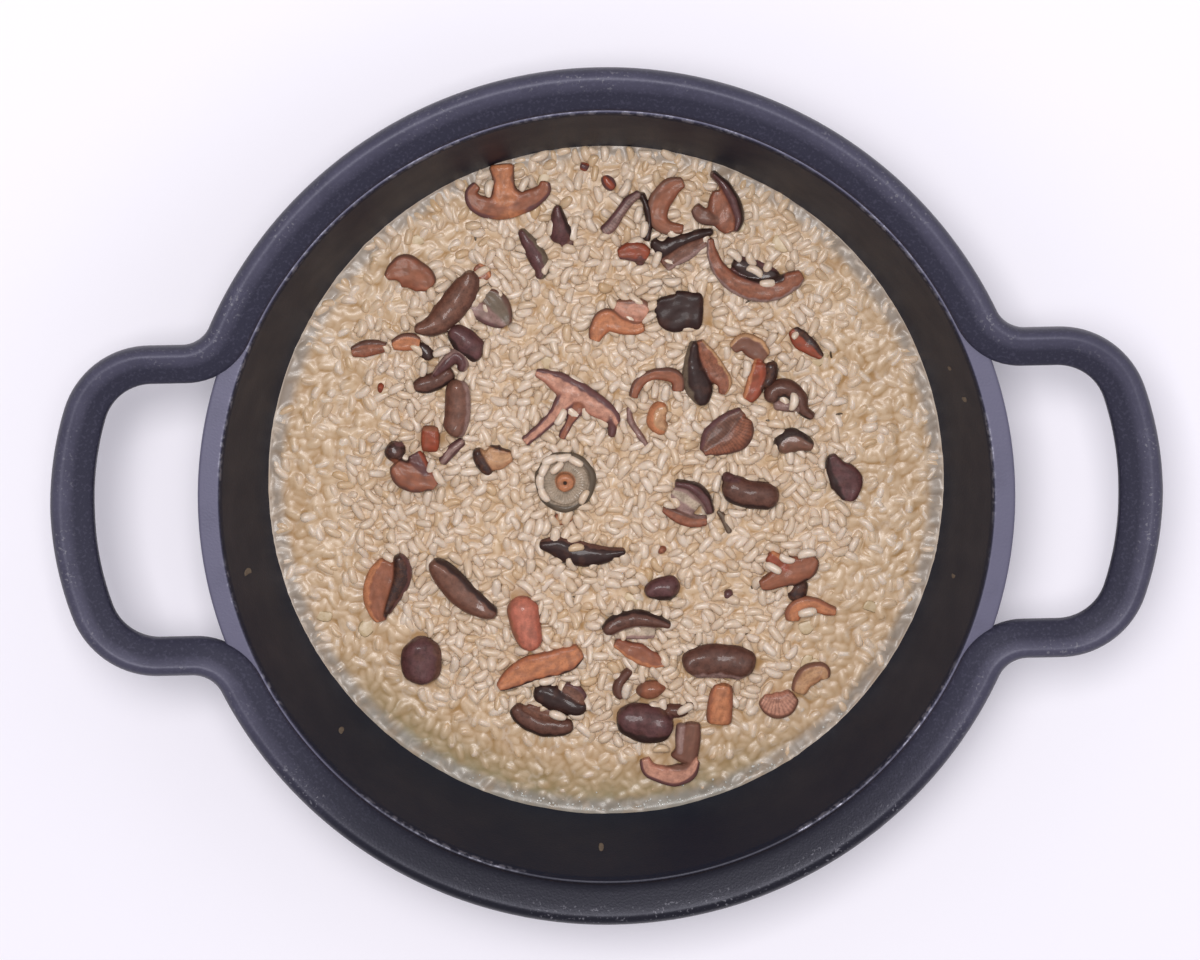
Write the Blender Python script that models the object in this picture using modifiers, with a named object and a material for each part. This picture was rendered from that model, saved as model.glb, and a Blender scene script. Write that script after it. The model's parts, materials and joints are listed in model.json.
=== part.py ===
"""Mushroom risotto in a black cast pan with two loop handles.

Metres, +Z up. The origin is the centre of the pan's flat base. The handles lie along X.
The pan is one casting, the rice one heap with grain-sized bumps, and each piece of
mushroom lies in its own bare spot on the rice.
"""

import math
import random
from collections import namedtuple

import bmesh
import bpy
from mathutils import Vector
from mathutils.bvhtree import BVHTree
from mathutils.geometry import delaunay_2d_cdt

MM = 0.001
GAP = 0.3 * MM
SAME_POINT = 0.01 * MM

# Pan, turned part
LIP_RADIUS = 150.0 * MM
LIP_HEIGHT = 90.0 * MM
LIP_CHAMFER = 1.0 * MM
LEDGE_RADIUS = 158.6 * MM
LEDGE_THICK = 6.5 * MM
FLOOR_THICK = 6.0 * MM
WALL_THICK = 5.0 * MM
WALL_LEAN = math.radians(15)
FLOOR_FILLET = 30.0 * MM
FILLET_POINTS = 5
PAN_STEPS = 64

# Pan, the band round the lip that runs out into the two handles
BAND_RADIUS = 159.4 * MM
BAND_WIDTH = 16.2 * MM
BAND_CREST = 6.8 * MM
BAND_DROP = 6.0 * MM
BAND_SIDE_ROUND = 2.5 * MM
GRIP_REACH = 207.2 * MM
GRIP_BOW_RADIUS = 122.0 * MM
ARM_OFFSET = 57.1 * MM
ARM_CORNER_RADIUS = 27.0 * MM
ARM_ROOT_RADIUS = 20.0 * MM
ARM_WIDTH_SHARE = 0.9
ARC_POINTS, ROOT_POINTS, CORNER_POINTS, GRIP_POINTS = 10, 5, 5, 3

# Risotto
RICE_LEVEL = 35.4 * MM
BARE_DEPTH = 2.0 * MM
EDGE_DIP = 1.0 * MM
EDGE_SPACING = 7.0 * MM
GRAIN_SPACING = 4.6 * MM
GRAIN_JITTER = 0.18
BUMP_LOW, BUMP_HIGH = 0.6 * MM, 1.5 * MM
HOLLOW_LOW, HOLLOW_HIGH = -1.4 * MM, -0.5 * MM
BARE_MARGIN = 0.85 * GRAIN_SPACING
EDGE_FREE = 0.8 * GRAIN_SPACING
RICE_SEED = 7

# Mushrooms, one row for each piece. x and y are its middle in mm, turn is its long side
# anticlockwise from +X, bend is how far it curls, in degrees, with its back to the left of
# that direction, and taper widens its far end. A slice is a mushroom cut through: its length
# is its cap's chord, its width runs from the cap's back to the stem's end, bend is the cap's
# arc and taper is the stem's width in mm.
LOBE_SIDES, LOBE_RINGS = 8, 5
BELLY = 0.5
SLICE_POINTS = 7
SLICE_CAP, SLICE_TIP, SLICE_STEM_END = 0.36, 0.55, 0.85
Piece = namedtuple("Piece", "name form tone x y turn length width height bend taper")
LENS, OVAL, BLUNT, BLOCK, SLICE, RING = "lens", "oval", "blunt", "block", "slice", "ring"
POINTEDNESS = {LENS: 0.85, OVAL: 0.5, BLUNT: 0.3, BLOCK: 0.22}
BLOCK_POWER = 0.6
PIECES = [
    Piece("slice_north", SLICE, "orange", -36, 117.5, 0, 31, 21, 6.5, 150, 10.5),
    Piece("wedge_north", LENS, "dark", -15, 102.8, 95, 17, 8, 7, 0, -0.2),
    Piece("sliver_north", LENS, "dark", -26.4, 91.9, -65, 20, 8, 6, 30, 0),
    Piece("chunk_northwest", BLOCK, "orange", -77.8, 87.4, -20, 17, 14, 7, 0, 0.15),
    Piece("crescent_northwest", LENS, "dark", -63, 74.3, 42, 32, 10, 9, 35, 0),
    Piece("slab_northwest", OVAL, "olive", -43.5, 71.3, -30, 17, 13, 6, 0, 0),
    Piece("sausage_northwest", BLUNT, "dark", -54.4, 59, -40, 17, 8.5, 8, 15, 0),
    Piece("strip_west", LENS, "brown", -93.9, 55.8, 8, 16, 5.5, 6, 15, 0),
    Piece("chip_west", BLUNT, "orange", -78.8, 58.6, -8, 12.5, 6.5, 6, 0, 0),
    Piece("curl_west", BLUNT, "dark", -67.8, 44, 30, 18, 7, 7, -40, 0),
    Piece("strip_centre_west", BLUNT, "brown", -60.5, 30.6, 86, 22, 9, 8, 10, 0),
    Piece("block_west", BLOCK, "orange", -68.8, 19.6, 5, 10, 8, 8, 0, 0),
    Piece("cap_west", OVAL, "pink", -76.6, 7.6, -50, 21, 13, 9, 0, 0.1),
    Piece("wedge_west", LENS, "orange", -45.9, 11.3, -38, 17, 10, 7, 0, 0),
    Piece("anchor_slice", SLICE, "pink", -21.3, 26.6, 131, 39, 30, 6.5, 110, 7),
    Piece("ring_cap", RING, "olive", -16.4, 1.4, 0, 24.6, 24.6, 10, 0, 0),
    Piece("bar_centre", BLUNT, "dark", -9.8, -27.2, -3, 33, 9, 6.5, 0, 0),
    Piece("cap_southwest", OVAL, "orange", -89, -41, 65, 26, 16, 8.5, -25, 0),
    Piece("crescent_southwest", LENS, "brown", -58, -41.7, -36, 34, 10.5, 8.5, -45, 0),
    Piece("oval_southwest", OVAL, "dark", -76.1, -70.7, 80, 22.5, 15, 10, 0, 0),
    Piece("stem_south", BLUNT, "pink", -34.6, -56, -80, 25, 12, 8.5, 0, 0.1),
    Piece("slice_south", LENS, "pink", -27.4, -75, 24, 35, 10.5, 7, -20, 0),
    Piece("wedge_south", LENS, "dark", -18.3, -86.2, -15, 21, 9, 7, 15, 0),
    Piece("boat_south", OVAL, "dark", -28.6, -95.6, -8, 25, 9.5, 7.5, -20, 0),
    Piece("arc_north", BLUNT, "orange", 27.2, 113, 76, 19, 7.5, 6.5, 60, 0),
    Piece("frill_north", LENS, "dark", 8.6, 107.5, 50, 20, 6, 6.5, 25, 0),
    Piece("chip_north", OVAL, "orange", 12.2, 92.7, 10, 12, 8, 6.5, 0, 0),
    Piece("slice_northeast", LENS, "dark", 32.6, 92.8, 10, 22, 11, 7, 20, 0.1),
    Piece("cap_northeast", OVAL, "brown", 47.1, 110.3, -65, 26, 15, 8.5, 20, 0),
    Piece("boat_northeast", OVAL, "brown", 62.5, 83, -20, 36, 15, 8, -25, 0),
    Piece("pentagon_east", BLOCK, "dark", 32.5, 68.6, -8, 18, 14.5, 6.5, 0, 0.1),
    Piece("fan_centre_north", OVAL, "orange", 6.9, 64.1, 10, 22, 14, 7, 20, 0.2),
    Piece("wedge_east", LENS, "dark", 40.9, 44.1, 95, 25, 15, 8, 0, 0),
    Piece("arc_east", BLUNT, "orange", 60.2, 45.3, 80, 24, 8.5, 7.5, -70, 0),
    Piece("chip_east", LENS, "orange", 81, 55.7, -45, 14, 9, 6, 0, 0),
    Piece("arch_centre", BLUNT, "orange", 19.8, 39.6, 15, 18, 5.5, 6.5, 80, 0),
    Piece("stub_centre", OVAL, "orange", 22.5, 25.2, 20, 9.5, 8.7, 7.5, 0, 0),
    Piece("gilled_cap_east", OVAL, "brown", 49.6, 18.4, 40, 22, 17, 8, 0, -0.2),
    Piece("knob_east", OVAL, "dark", 75.8, 31.7, -25, 20.5, 12, 8, 15, 0),
    Piece("chunk_east", OVAL, "olive", 76, 14.4, 10, 15.5, 11.5, 8, 0, -0.2),
    Piece("sausage_east", BLUNT, "dark", 58.5, -3.9, -10, 27.5, 11, 9.5, 0, 0),
    Piece("diamond_east", LENS, "dark", 95.5, 1, -60, 19, 13, 8, 0, 0),
    Piece("curl_centre", OVAL, "brown", 33.5, -9.4, -30, 20, 15, 8.5, 30, 0),
    Piece("stub_centre_south", BLUNT, "dark", 23.3, -43.4, 5, 17.5, 8.5, 8, 0, 0),
    Piece("cap_east", OVAL, "orange", 72.9, -33.4, 20, 24, 17, 8.5, 0, 0),
    Piece("arc_southeast", BLUNT, "orange", 82.4, -52, 0, 20, 7.5, 7, 60, 0),
    Piece("crescent_centre_south", LENS, "dark", 10.9, -57.8, 2, 26.5, 9, 8, 45, 0),
    Piece("bits_south", OVAL, "pink", 14.3, -69.6, -15, 15, 9.5, 6.5, 0, 0),
    Piece("slab_south", BLUNT, "dark", 44.5, -74.6, 0, 31.5, 12.5, 9.5, 25, 0),
    Piece("block_south", BLOCK, "orange", 16.8, -82.4, 0, 12.5, 9, 8, 0, 0),
    Piece("cap_south", OVAL, "dark", 12.6, -97.4, -10, 28, 15.5, 10, 0, 0),
    Piece("hook_slice", SLICE, "pink", 29.5, -110.4, -20, 24, 20, 6.5, 100, 7),
    Piece("post_south", BLOCK, "orange", 44.6, -92.2, 88, 15, 9.5, 7.5, 0, 0.1),
    Piece("gilled_southeast", OVAL, "pink", 68.2, -91.3, 20, 16.5, 10.5, 7, 0, 0),
    Piece("curl_southeast", BLUNT, "orange", 83.2, -82, 40, 11.5, 7.5, 7, 60, 0),
]

# Ring cap, upside down: shares of its radius and of its height
RING_PROFILE = [(0, 0), (0.7, 0), (1, 0.35), (0.94, 0.62), (0.8, 0.68), (0.62, 0.5)]
RING_STEM, RING_STEM_SHOULDER, RING_STEPS = 0.3, 0.92, 14

# Colour, roughness
FINISHES = {
    "pan": ((0.028, 0.027, 0.033), 0.42),
    "rice": ((0.66, 0.56, 0.40), 0.35),
    "dark": ((0.045, 0.022, 0.018), 0.25),
    "brown": ((0.14, 0.062, 0.038), 0.3),
    "orange": ((0.36, 0.13, 0.06), 0.35),
    "pink": ((0.34, 0.15, 0.11), 0.35),
    "olive": ((0.19, 0.15, 0.10), 0.3),
}


def clear_scene():
    for obj in list(bpy.data.objects):
        bpy.data.objects.remove(obj, do_unlink=True)


def new_collection(name, hidden=False):
    collection = bpy.data.collections.new(name)
    collection.hide_render = hidden
    bpy.context.scene.collection.children.link(collection)
    return collection


def finish_material(name):
    color, roughness = FINISHES[name]
    material = bpy.data.materials.new(name)
    material.use_nodes = True
    shader = material.node_tree.nodes["Principled BSDF"]
    shader.inputs["Base Color"].default_value = (*color, 1)
    shader.inputs["Roughness"].default_value = roughness
    return material


def link_mesh(name, mesh, collection, material=None):
    obj = bpy.data.objects.new(name, mesh)
    collection.objects.link(obj)
    if material:
        mesh.materials.clear()
        mesh.materials.append(material)
    return obj


def mesh_from(bm, name):
    mesh = bpy.data.meshes.new(name)
    bm.to_mesh(mesh)
    bm.free()
    return mesh


def arc(center, radius, start, end, count):
    """Points on an arc in the plane, both ends included, angles in radians."""
    turns = [start + (end - start) * i / (count - 1) for i in range(count)]
    return [(center[0] + radius * math.cos(t), center[1] + radius * math.sin(t)) for t in turns]


def wall_radius(height):
    """Radius of the bowl's inner face at a height on its straight wall."""
    return LIP_RADIUS - (LIP_HEIGHT - height) * math.tan(WALL_LEAN)


def bowl_profile(offset):
    """The fillet from the flat floor to the wall's foot, moved out from the inner face by offset."""
    wall_foot = wall_radius(FLOOR_THICK + FLOOR_FILLET * (1 - math.sin(WALL_LEAN)))
    center = (wall_foot - FLOOR_FILLET * math.cos(WALL_LEAN), FLOOR_THICK + FLOOR_FILLET)
    return arc(center, FLOOR_FILLET + offset, -math.pi / 2, -WALL_LEAN, FILLET_POINTS)


def pan_profile():
    """Half section of the turned part: along the floor, up inside, over the lip, down outside."""
    under = LIP_HEIGHT - LEDGE_THICK
    shift = WALL_THICK / math.cos(WALL_LEAN)
    lip = [(wall_radius(LIP_HEIGHT - LIP_CHAMFER), LIP_HEIGHT - LIP_CHAMFER),
           (LIP_RADIUS + LIP_CHAMFER, LIP_HEIGHT), (LEDGE_RADIUS, LIP_HEIGHT)]
    under_ledge = [(LEDGE_RADIUS, under), (wall_radius(under) + shift, under)]
    outside = [(r, max(z - (FLOOR_THICK - WALL_THICK), 0)) for r, z in bowl_profile(WALL_THICK)]
    return [(0, FLOOR_THICK)] + bowl_profile(0) + lip + under_ledge + outside[::-1] + [(0, 0)]


def turned(name, profile, steps, collection):
    """A Screw about Z of a half section that starts and ends on the axis."""
    bm = bmesh.new()
    verts = [bm.verts.new((r, 0, z)) for r, z in profile]
    for a, b in zip(verts, verts[1:]):
        bm.edges.new((a, b))
    obj = link_mesh(name, mesh_from(bm, name), collection)
    screw = obj.modifiers.new("Screw", "SCREW")
    screw.steps = screw.render_steps = steps
    screw.use_merge_vertices = True
    screw.merge_threshold = SAME_POINT
    screw.use_smooth_shade = True
    return obj


def band_quarter():
    """The band's centre line from the north (+Y) to the grip's middle, with its width there."""
    root_y = ARM_OFFSET + ARM_ROOT_RADIUS
    root_x = math.sqrt((BAND_RADIUS + ARM_ROOT_RADIUS) ** 2 - root_y ** 2)
    root_turn = math.atan2(root_y, root_x)
    bow_x = GRIP_REACH - GRIP_BOW_RADIUS
    corner_y = ARM_OFFSET - ARM_CORNER_RADIUS
    corner_x = bow_x + math.sqrt((GRIP_BOW_RADIUS - ARM_CORNER_RADIUS) ** 2 - corner_y ** 2)
    bow_turn = math.atan2(corner_y, corner_x - bow_x)
    rim = arc((0, 0), BAND_RADIUS, math.pi / 2, root_turn, ARC_POINTS)
    root = arc((root_x, root_y), ARM_ROOT_RADIUS, root_turn + math.pi, 3 * math.pi / 2, ROOT_POINTS)
    corner = arc((corner_x, corner_y), ARM_CORNER_RADIUS, math.pi / 2, bow_turn, CORNER_POINTS)
    grip = arc((bow_x, 0), GRIP_BOW_RADIUS, bow_turn, 0, GRIP_POINTS)
    wide, slim = 1, ARM_WIDTH_SHARE
    return ([(p, wide) for p in rim[:-1]] + [(p, slim) for p in root]
            + [(p, slim) for p in corner[:-1]] + [(p, wide) for p in grip])


def band_path():
    """The closed centre line, clockwise from the north, mirrored from its first quarter."""
    quarter = band_quarter()
    east = quarter + [((x, -y), w) for (x, y), w in quarter[-2::-1]]
    west = [((-x, y), w) for (x, y), w in east[-2:0:-1]]
    return east + west


def band_section():
    """Offsets across the band, inner side first, with heights: the crest lies near its outer side."""
    half = BAND_WIDTH / 2
    top, low = LIP_HEIGHT + BAND_CREST, LIP_HEIGHT - BAND_DROP
    return [(-half, LIP_HEIGHT - 0.4 * MM), (-0.86 * half, LIP_HEIGHT + 1.2 * MM), (0.25 * half, top - 0.6 * MM),
            (0.5 * half, top), (0.78 * half, top - 1.0 * MM), (half, LIP_HEIGHT + 2.5 * MM),
            (half, low + BAND_SIDE_ROUND), (0.7 * half, low), (-0.7 * half, low), (-half, low + BAND_SIDE_ROUND)]


def band_loft(name, collection):
    """The band: its upright section carried round its closed centre line, swelling at the handles."""
    path, section = band_path(), band_section()
    count = len(path)
    bm = bmesh.new()
    rings = []
    for i, (point, width) in enumerate(path):
        ahead = Vector(path[(i + 1) % count][0]) - Vector(path[i - 1][0])
        out = Vector((-ahead.y, ahead.x)).normalized()
        rings.append([bm.verts.new((point[0] + out.x * n * width, point[1] + out.y * n * width, z))
                      for n, z in section])
    for ring, following in zip(rings, rings[1:] + rings[:1]):
        for j in range(len(section)):
            k = (j + 1) % len(section)
            bm.faces.new((ring[j], ring[k], following[k], following[j]))
    bmesh.ops.recalc_face_normals(bm, faces=bm.faces)
    return link_mesh(name, mesh_from(bm, name), collection)


def make_pan(collection, helpers):
    pan = turned("pan", pan_profile(), PAN_STEPS, collection)
    pan.data.materials.append(finish_material("pan"))
    band = band_loft("band_shape", helpers)
    band.hide_render = True
    band.display_type = "WIRE"
    join = pan.modifiers.new("Band", "BOOLEAN")
    join.operation = "UNION"
    join.object = band


def lobe_point(unit, piece):
    """A point of the unit sphere moved onto a rounded piece that lies along X on a flat belly."""
    along, across, up = unit.z, unit.x, unit.y
    girth = math.hypot(across, up)
    if girth > 0:
        swell = (1 - min(along * along, 1)) ** POINTEDNESS[piece.form] / girth
        across, up = across * swell, up * swell
    if piece.form == BLOCK:
        across, up = (math.copysign(abs(v) ** BLOCK_POWER, v) for v in (across, up))
    up = (max(up, -BELLY) + BELLY) / (1 + BELLY)
    side = across * piece.width / 2 * (1 + piece.taper * along)
    run = along * piece.length / 2
    if piece.bend:
        radius = piece.length / math.radians(piece.bend)
        turn = run / radius
        sag = radius * (1 - math.cos(piece.length / 4 / radius))
        run, side = (radius + side) * math.sin(turn), (radius + side) * math.cos(turn) - radius + sag
    return Vector((run, side, up * piece.height)) * MM


def lobe_mesh(piece):
    bm = bmesh.new()
    bmesh.ops.create_uvsphere(bm, u_segments=LOBE_SIDES, v_segments=LOBE_RINGS, radius=1)
    for vert in bm.verts:
        vert.co = lobe_point(vert.co, piece)
    return mesh_from(bm, piece.name)


def slice_outline(piece):
    """A cut mushroom seen from its cut side: the cap's arc with its back to -Y, the stem to +Y."""
    half_turn = math.radians(piece.bend) / 2
    radius = piece.length / 2 / math.sin(min(half_turn, math.pi / 2))
    thick, stem = SLICE_CAP * piece.width, piece.taper / 2
    turns = [half_turn * (2 * i / (SLICE_POINTS - 1) - 1) for i in range(SLICE_POINTS)]
    back = [(radius * math.sin(t), radius - radius * math.cos(t)) for t in turns]
    inner = []
    for t in reversed(turns):
        reach = radius - thick * (1 - SLICE_TIP * (t / half_turn) ** 2)
        inner.append((reach * math.sin(t), radius - reach * math.cos(t)))
    right = [p for p in inner if p[0] > stem]
    left = [p for p in inner if p[0] < -stem]
    stem_end = SLICE_STEM_END * stem
    stalk = [(stem, thick), (stem_end, piece.width), (-stem_end, piece.width), (-stem, thick)]
    return [(x, y - piece.width / 2) for x, y in back + right + stalk + left]


def slice_mesh(piece):
    """The outline as a filled flat curve, given its thickness and made a mesh."""
    flat = bpy.data.curves.new(piece.name, "CURVE")
    flat.dimensions = "2D"
    flat.fill_mode = "BOTH"
    flat.extrude = piece.height / 2 * MM
    points = slice_outline(piece)
    spline = flat.splines.new("POLY")
    spline.points.add(len(points) - 1)
    for point, (x, y) in zip(spline.points, points):
        point.co = (x * MM, y * MM, 0, 1)
    spline.use_cyclic_u = True
    guide = bpy.data.objects.new(piece.name, flat)
    bpy.context.scene.collection.objects.link(guide)
    bpy.context.view_layer.update()
    mesh = bpy.data.meshes.new_from_object(guide.evaluated_get(bpy.context.evaluated_depsgraph_get()))
    bpy.data.objects.remove(guide)
    bm = bmesh.new()
    bm.from_mesh(mesh)
    bmesh.ops.remove_doubles(bm, verts=bm.verts, dist=SAME_POINT)
    bmesh.ops.recalc_face_normals(bm, faces=bm.faces)
    bmesh.ops.translate(bm, verts=bm.verts, vec=(0, 0, piece.height / 2 * MM))
    return mesh_from(bm, piece.name)


def ring_profile(piece):
    """Half section of the upturned cap, from the middle of its back out and in to its stem's end."""
    radius, height = piece.length / 2 * MM, piece.height * MM
    bowl = [(r * radius, z * height) for r, z in RING_PROFILE]
    stem_radius = RING_STEM * radius
    stem = [(stem_radius, bowl[-1][1]), (stem_radius, RING_STEM_SHOULDER * height), (0, height)]
    return (bowl + stem)[::-1]


def make_mushroom(piece, collection, material):
    name = "mushroom_" + piece.name
    if piece.form == RING:
        obj = turned(name, ring_profile(piece), RING_STEPS, collection)
        obj.data.materials.append(material)
    else:
        mesh = slice_mesh(piece) if piece.form == SLICE else lobe_mesh(piece)
        obj = link_mesh(name, mesh, collection, material)
    obj.location = (piece.x * MM, piece.y * MM, RICE_LEVEL - BARE_DEPTH + GAP)
    obj.rotation_euler.z = math.radians(piece.turn)
    if piece.form != SLICE:
        obj.data.shade_smooth()
    return obj


def surface_tree(objects):
    """One search tree over the surfaces of all the given objects, in world space."""
    bpy.context.view_layer.update()
    graph = bpy.context.evaluated_depsgraph_get()
    points, faces = [], []
    for obj in objects:
        mesh = obj.evaluated_get(graph).to_mesh()
        start = len(points)
        points += [obj.matrix_world @ vert.co for vert in mesh.vertices]
        faces += [[start + i for i in face.vertices] for face in mesh.polygons]
    return BVHTree.FromPolygons(points, faces)


def grain_lattice(radius, draw):
    """Jittered points of a triangular lattice inside a radius, each with its share of a bump.

    Every third point is a top.
    """
    rows = int(radius / (GRAIN_SPACING * math.sqrt(3) / 2)) + 1
    found = []
    for row in range(-rows, rows + 1):
        for column in range(-2 * rows, 2 * rows + 1):
            x = (column + row / 2) * GRAIN_SPACING
            y = row * GRAIN_SPACING * math.sqrt(3) / 2
            if math.hypot(x, y) > radius:
                continue
            top = (column - row) % 3 == 0
            rise = draw.uniform(BUMP_LOW, BUMP_HIGH) if top else draw.uniform(HOLLOW_LOW, HOLLOW_HIGH)
            shift = [draw.uniform(-GRAIN_JITTER, GRAIN_JITTER) * GRAIN_SPACING for _ in range(2)]
            found.append((x + shift[0], y + shift[1], RICE_LEVEL + rise))
    return found


def bare_under(points, tree):
    """The points, let down to the bare core where a mushroom is too near for a bump."""
    bare = RICE_LEVEL - BARE_DEPTH
    lowered = []
    for x, y, z in points:
        near = any(tree.find_nearest((x, y, height), BARE_MARGIN)[0] for height in (bare, z))
        lowered.append((x, y, bare if near else z))
    return lowered


def rice_mesh(tree):
    """The bumpy top over a skirt that follows the pan's wall a gap away, closed by a flat floor."""
    draw = random.Random(RICE_SEED)
    edge_radius = wall_radius(RICE_LEVEL - BARE_DEPTH) - GAP
    count = round(2 * math.pi * edge_radius / EDGE_SPACING)
    circle = arc((0, 0), edge_radius, 0, 2 * math.pi, count + 1)[:-1]
    edge = bare_under([(x, y, RICE_LEVEL - EDGE_DIP) for x, y in circle], tree)
    inside = bare_under(grain_lattice(edge_radius - EDGE_FREE, draw), tree)
    flat = [Vector(p[:2]) for p in edge + inside]
    rim_edges = [(i, (i + 1) % count) for i in range(count)]
    _, _, faces, *_ = delaunay_2d_cdt(flat, rim_edges, [], 1, SAME_POINT)
    bm = bmesh.new()
    verts = [bm.verts.new(p) for p in edge + inside]
    for face in faces:
        bm.faces.new([verts[i] for i in face])
    ring = verts[:count]
    for radius, z in bowl_profile(0)[::-1]:
        shrink = (radius - GAP) / edge_radius
        lower = [bm.verts.new((x * shrink, y * shrink, z + GAP)) for x, y, _ in edge]
        for (i, j) in rim_edges:
            bm.faces.new((ring[i], lower[i], lower[j], ring[j]))
        ring = lower
    bm.faces.new(ring[::-1])
    bmesh.ops.recalc_face_normals(bm, faces=bm.faces)
    return mesh_from(bm, "rice")


def main():
    clear_scene()
    parts = new_collection("mushroom_risotto")
    helpers = new_collection("joined_shapes", hidden=True)
    make_pan(parts, helpers)
    tones = {tone: finish_material(tone) for tone in ("dark", "brown", "orange", "pink", "olive")}
    mushrooms = [make_mushroom(piece, parts, tones[piece.tone]) for piece in PIECES]
    link_mesh("rice", rice_mesh(surface_tree(mushrooms)), parts, finish_material("rice"))


main()
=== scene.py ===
"""Looks of a mushroom risotto in its black two-handled cast pan.

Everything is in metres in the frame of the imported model: +Z up, the origin at the centre of
the pan's flat base, and the two handles along X. Sizes that read more easily in millimetres
are written as so many times MM.
"""

import json
import logging
import math
from dataclasses import dataclass, field
from enum import Enum

import bpy
import numpy as np
from mathutils import Matrix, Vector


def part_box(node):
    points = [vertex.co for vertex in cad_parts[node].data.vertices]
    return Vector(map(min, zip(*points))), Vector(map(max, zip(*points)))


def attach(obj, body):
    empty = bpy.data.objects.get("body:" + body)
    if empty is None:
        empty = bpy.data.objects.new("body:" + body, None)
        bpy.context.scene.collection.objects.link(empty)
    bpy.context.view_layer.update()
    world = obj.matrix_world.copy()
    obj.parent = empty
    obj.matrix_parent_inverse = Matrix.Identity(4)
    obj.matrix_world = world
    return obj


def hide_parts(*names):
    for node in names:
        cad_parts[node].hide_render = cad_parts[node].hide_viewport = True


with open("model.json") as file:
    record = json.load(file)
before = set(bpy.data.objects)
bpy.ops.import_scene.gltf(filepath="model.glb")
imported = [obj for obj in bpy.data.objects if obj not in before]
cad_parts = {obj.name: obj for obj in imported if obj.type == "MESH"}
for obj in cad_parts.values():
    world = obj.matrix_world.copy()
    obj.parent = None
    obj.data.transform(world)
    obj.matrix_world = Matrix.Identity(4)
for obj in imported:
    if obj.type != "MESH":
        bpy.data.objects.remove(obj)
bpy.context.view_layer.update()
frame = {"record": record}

LOG = logging.getLogger("risotto")
MM = 0.001
BODY = "root"

# The pan's and the rice's sizes, as in the solids
LIP_RADIUS = 150.0 * MM
LIP_HEIGHT = 90.0 * MM
LEDGE_RADIUS = 158.6 * MM
WALL_LEAN = math.radians(15)
FLOOR_THICK = 6.0 * MM
FLOOR_FILLET = 30.0 * MM
RICE_LEVEL = 35.4 * MM


def wall_radius(height: float | np.ndarray) -> float | np.ndarray:
    """Gives the radius of the bowl's inner face at a height on its straight wall.

    Args:
        height: One height, or an array of them.

    Returns:
        The lip's radius less the wall's lean over the drop from the lip.
    """
    return LIP_RADIUS - (LIP_HEIGHT - height) * math.tan(WALL_LEAN)


def floor_fillet() -> tuple:
    """Gives the height where the wall runs into the fillet, and the fillet's centre as radius and height."""
    foot = FLOOR_THICK + FLOOR_FILLET * (1 - math.sin(WALL_LEAN))
    return foot, (wall_radius(foot) - FLOOR_FILLET * math.cos(WALL_LEAN), FLOOR_THICK + FLOOR_FILLET)


def linear(seen: tuple, gain: float = 1.0) -> tuple:
    """Turns a colour as seen on a screen, 0 to 255, into linear light.

    Args:
        seen: Red, green and blue on the screen.
        gain: A factor for the light that falls on the piece.

    Returns:
        Red, green and blue from 0 to 1.
    """
    share = np.array(seen, float) / 255
    light = np.where(share <= 0.04045, share / 12.92, ((share + 0.055) / 1.055) ** 2.4)
    return tuple(float(v) for v in np.clip(light * gain, 0, 1))


# Shader graphs

class Signal:
    """An output socket. Arithmetic on it adds Math nodes, so a mask reads as a formula."""

    def __init__(self, graph: "Graph", socket: bpy.types.NodeSocket) -> None:
        """Wraps a socket of a graph."""
        self.graph = graph
        self.socket = socket

    def math(self, operation: str, first: object, second: object) -> "Signal":
        """Adds one Math node with the two values."""
        return self.graph.node("ShaderNodeMath", {"operation": operation}, {0: first, 1: second})

    def __add__(self, other: object) -> "Signal":
        """Adds."""
        return self.math("ADD", self, other)

    def __radd__(self, other: object) -> "Signal":
        """Adds, with the number first."""
        return self.math("ADD", other, self)

    def __sub__(self, other: object) -> "Signal":
        """Subtracts."""
        return self.math("SUBTRACT", self, other)

    def __rsub__(self, other: object) -> "Signal":
        """Subtracts from a number."""
        return self.math("SUBTRACT", other, self)

    def __mul__(self, other: object) -> "Signal":
        """Multiplies."""
        return self.math("MULTIPLY", self, other)

    def __rmul__(self, other: object) -> "Signal":
        """Multiplies, with the number first."""
        return self.math("MULTIPLY", other, self)

    def step(self, low: float, high: float) -> "Signal":
        """Rises smoothly from 0 at low to 1 at high."""
        return self.graph.node("ShaderNodeMapRange", {"interpolation_type": "SMOOTHSTEP"},
                               {"Value": self, "From Min": low, "From Max": high}, "Result")


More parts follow.
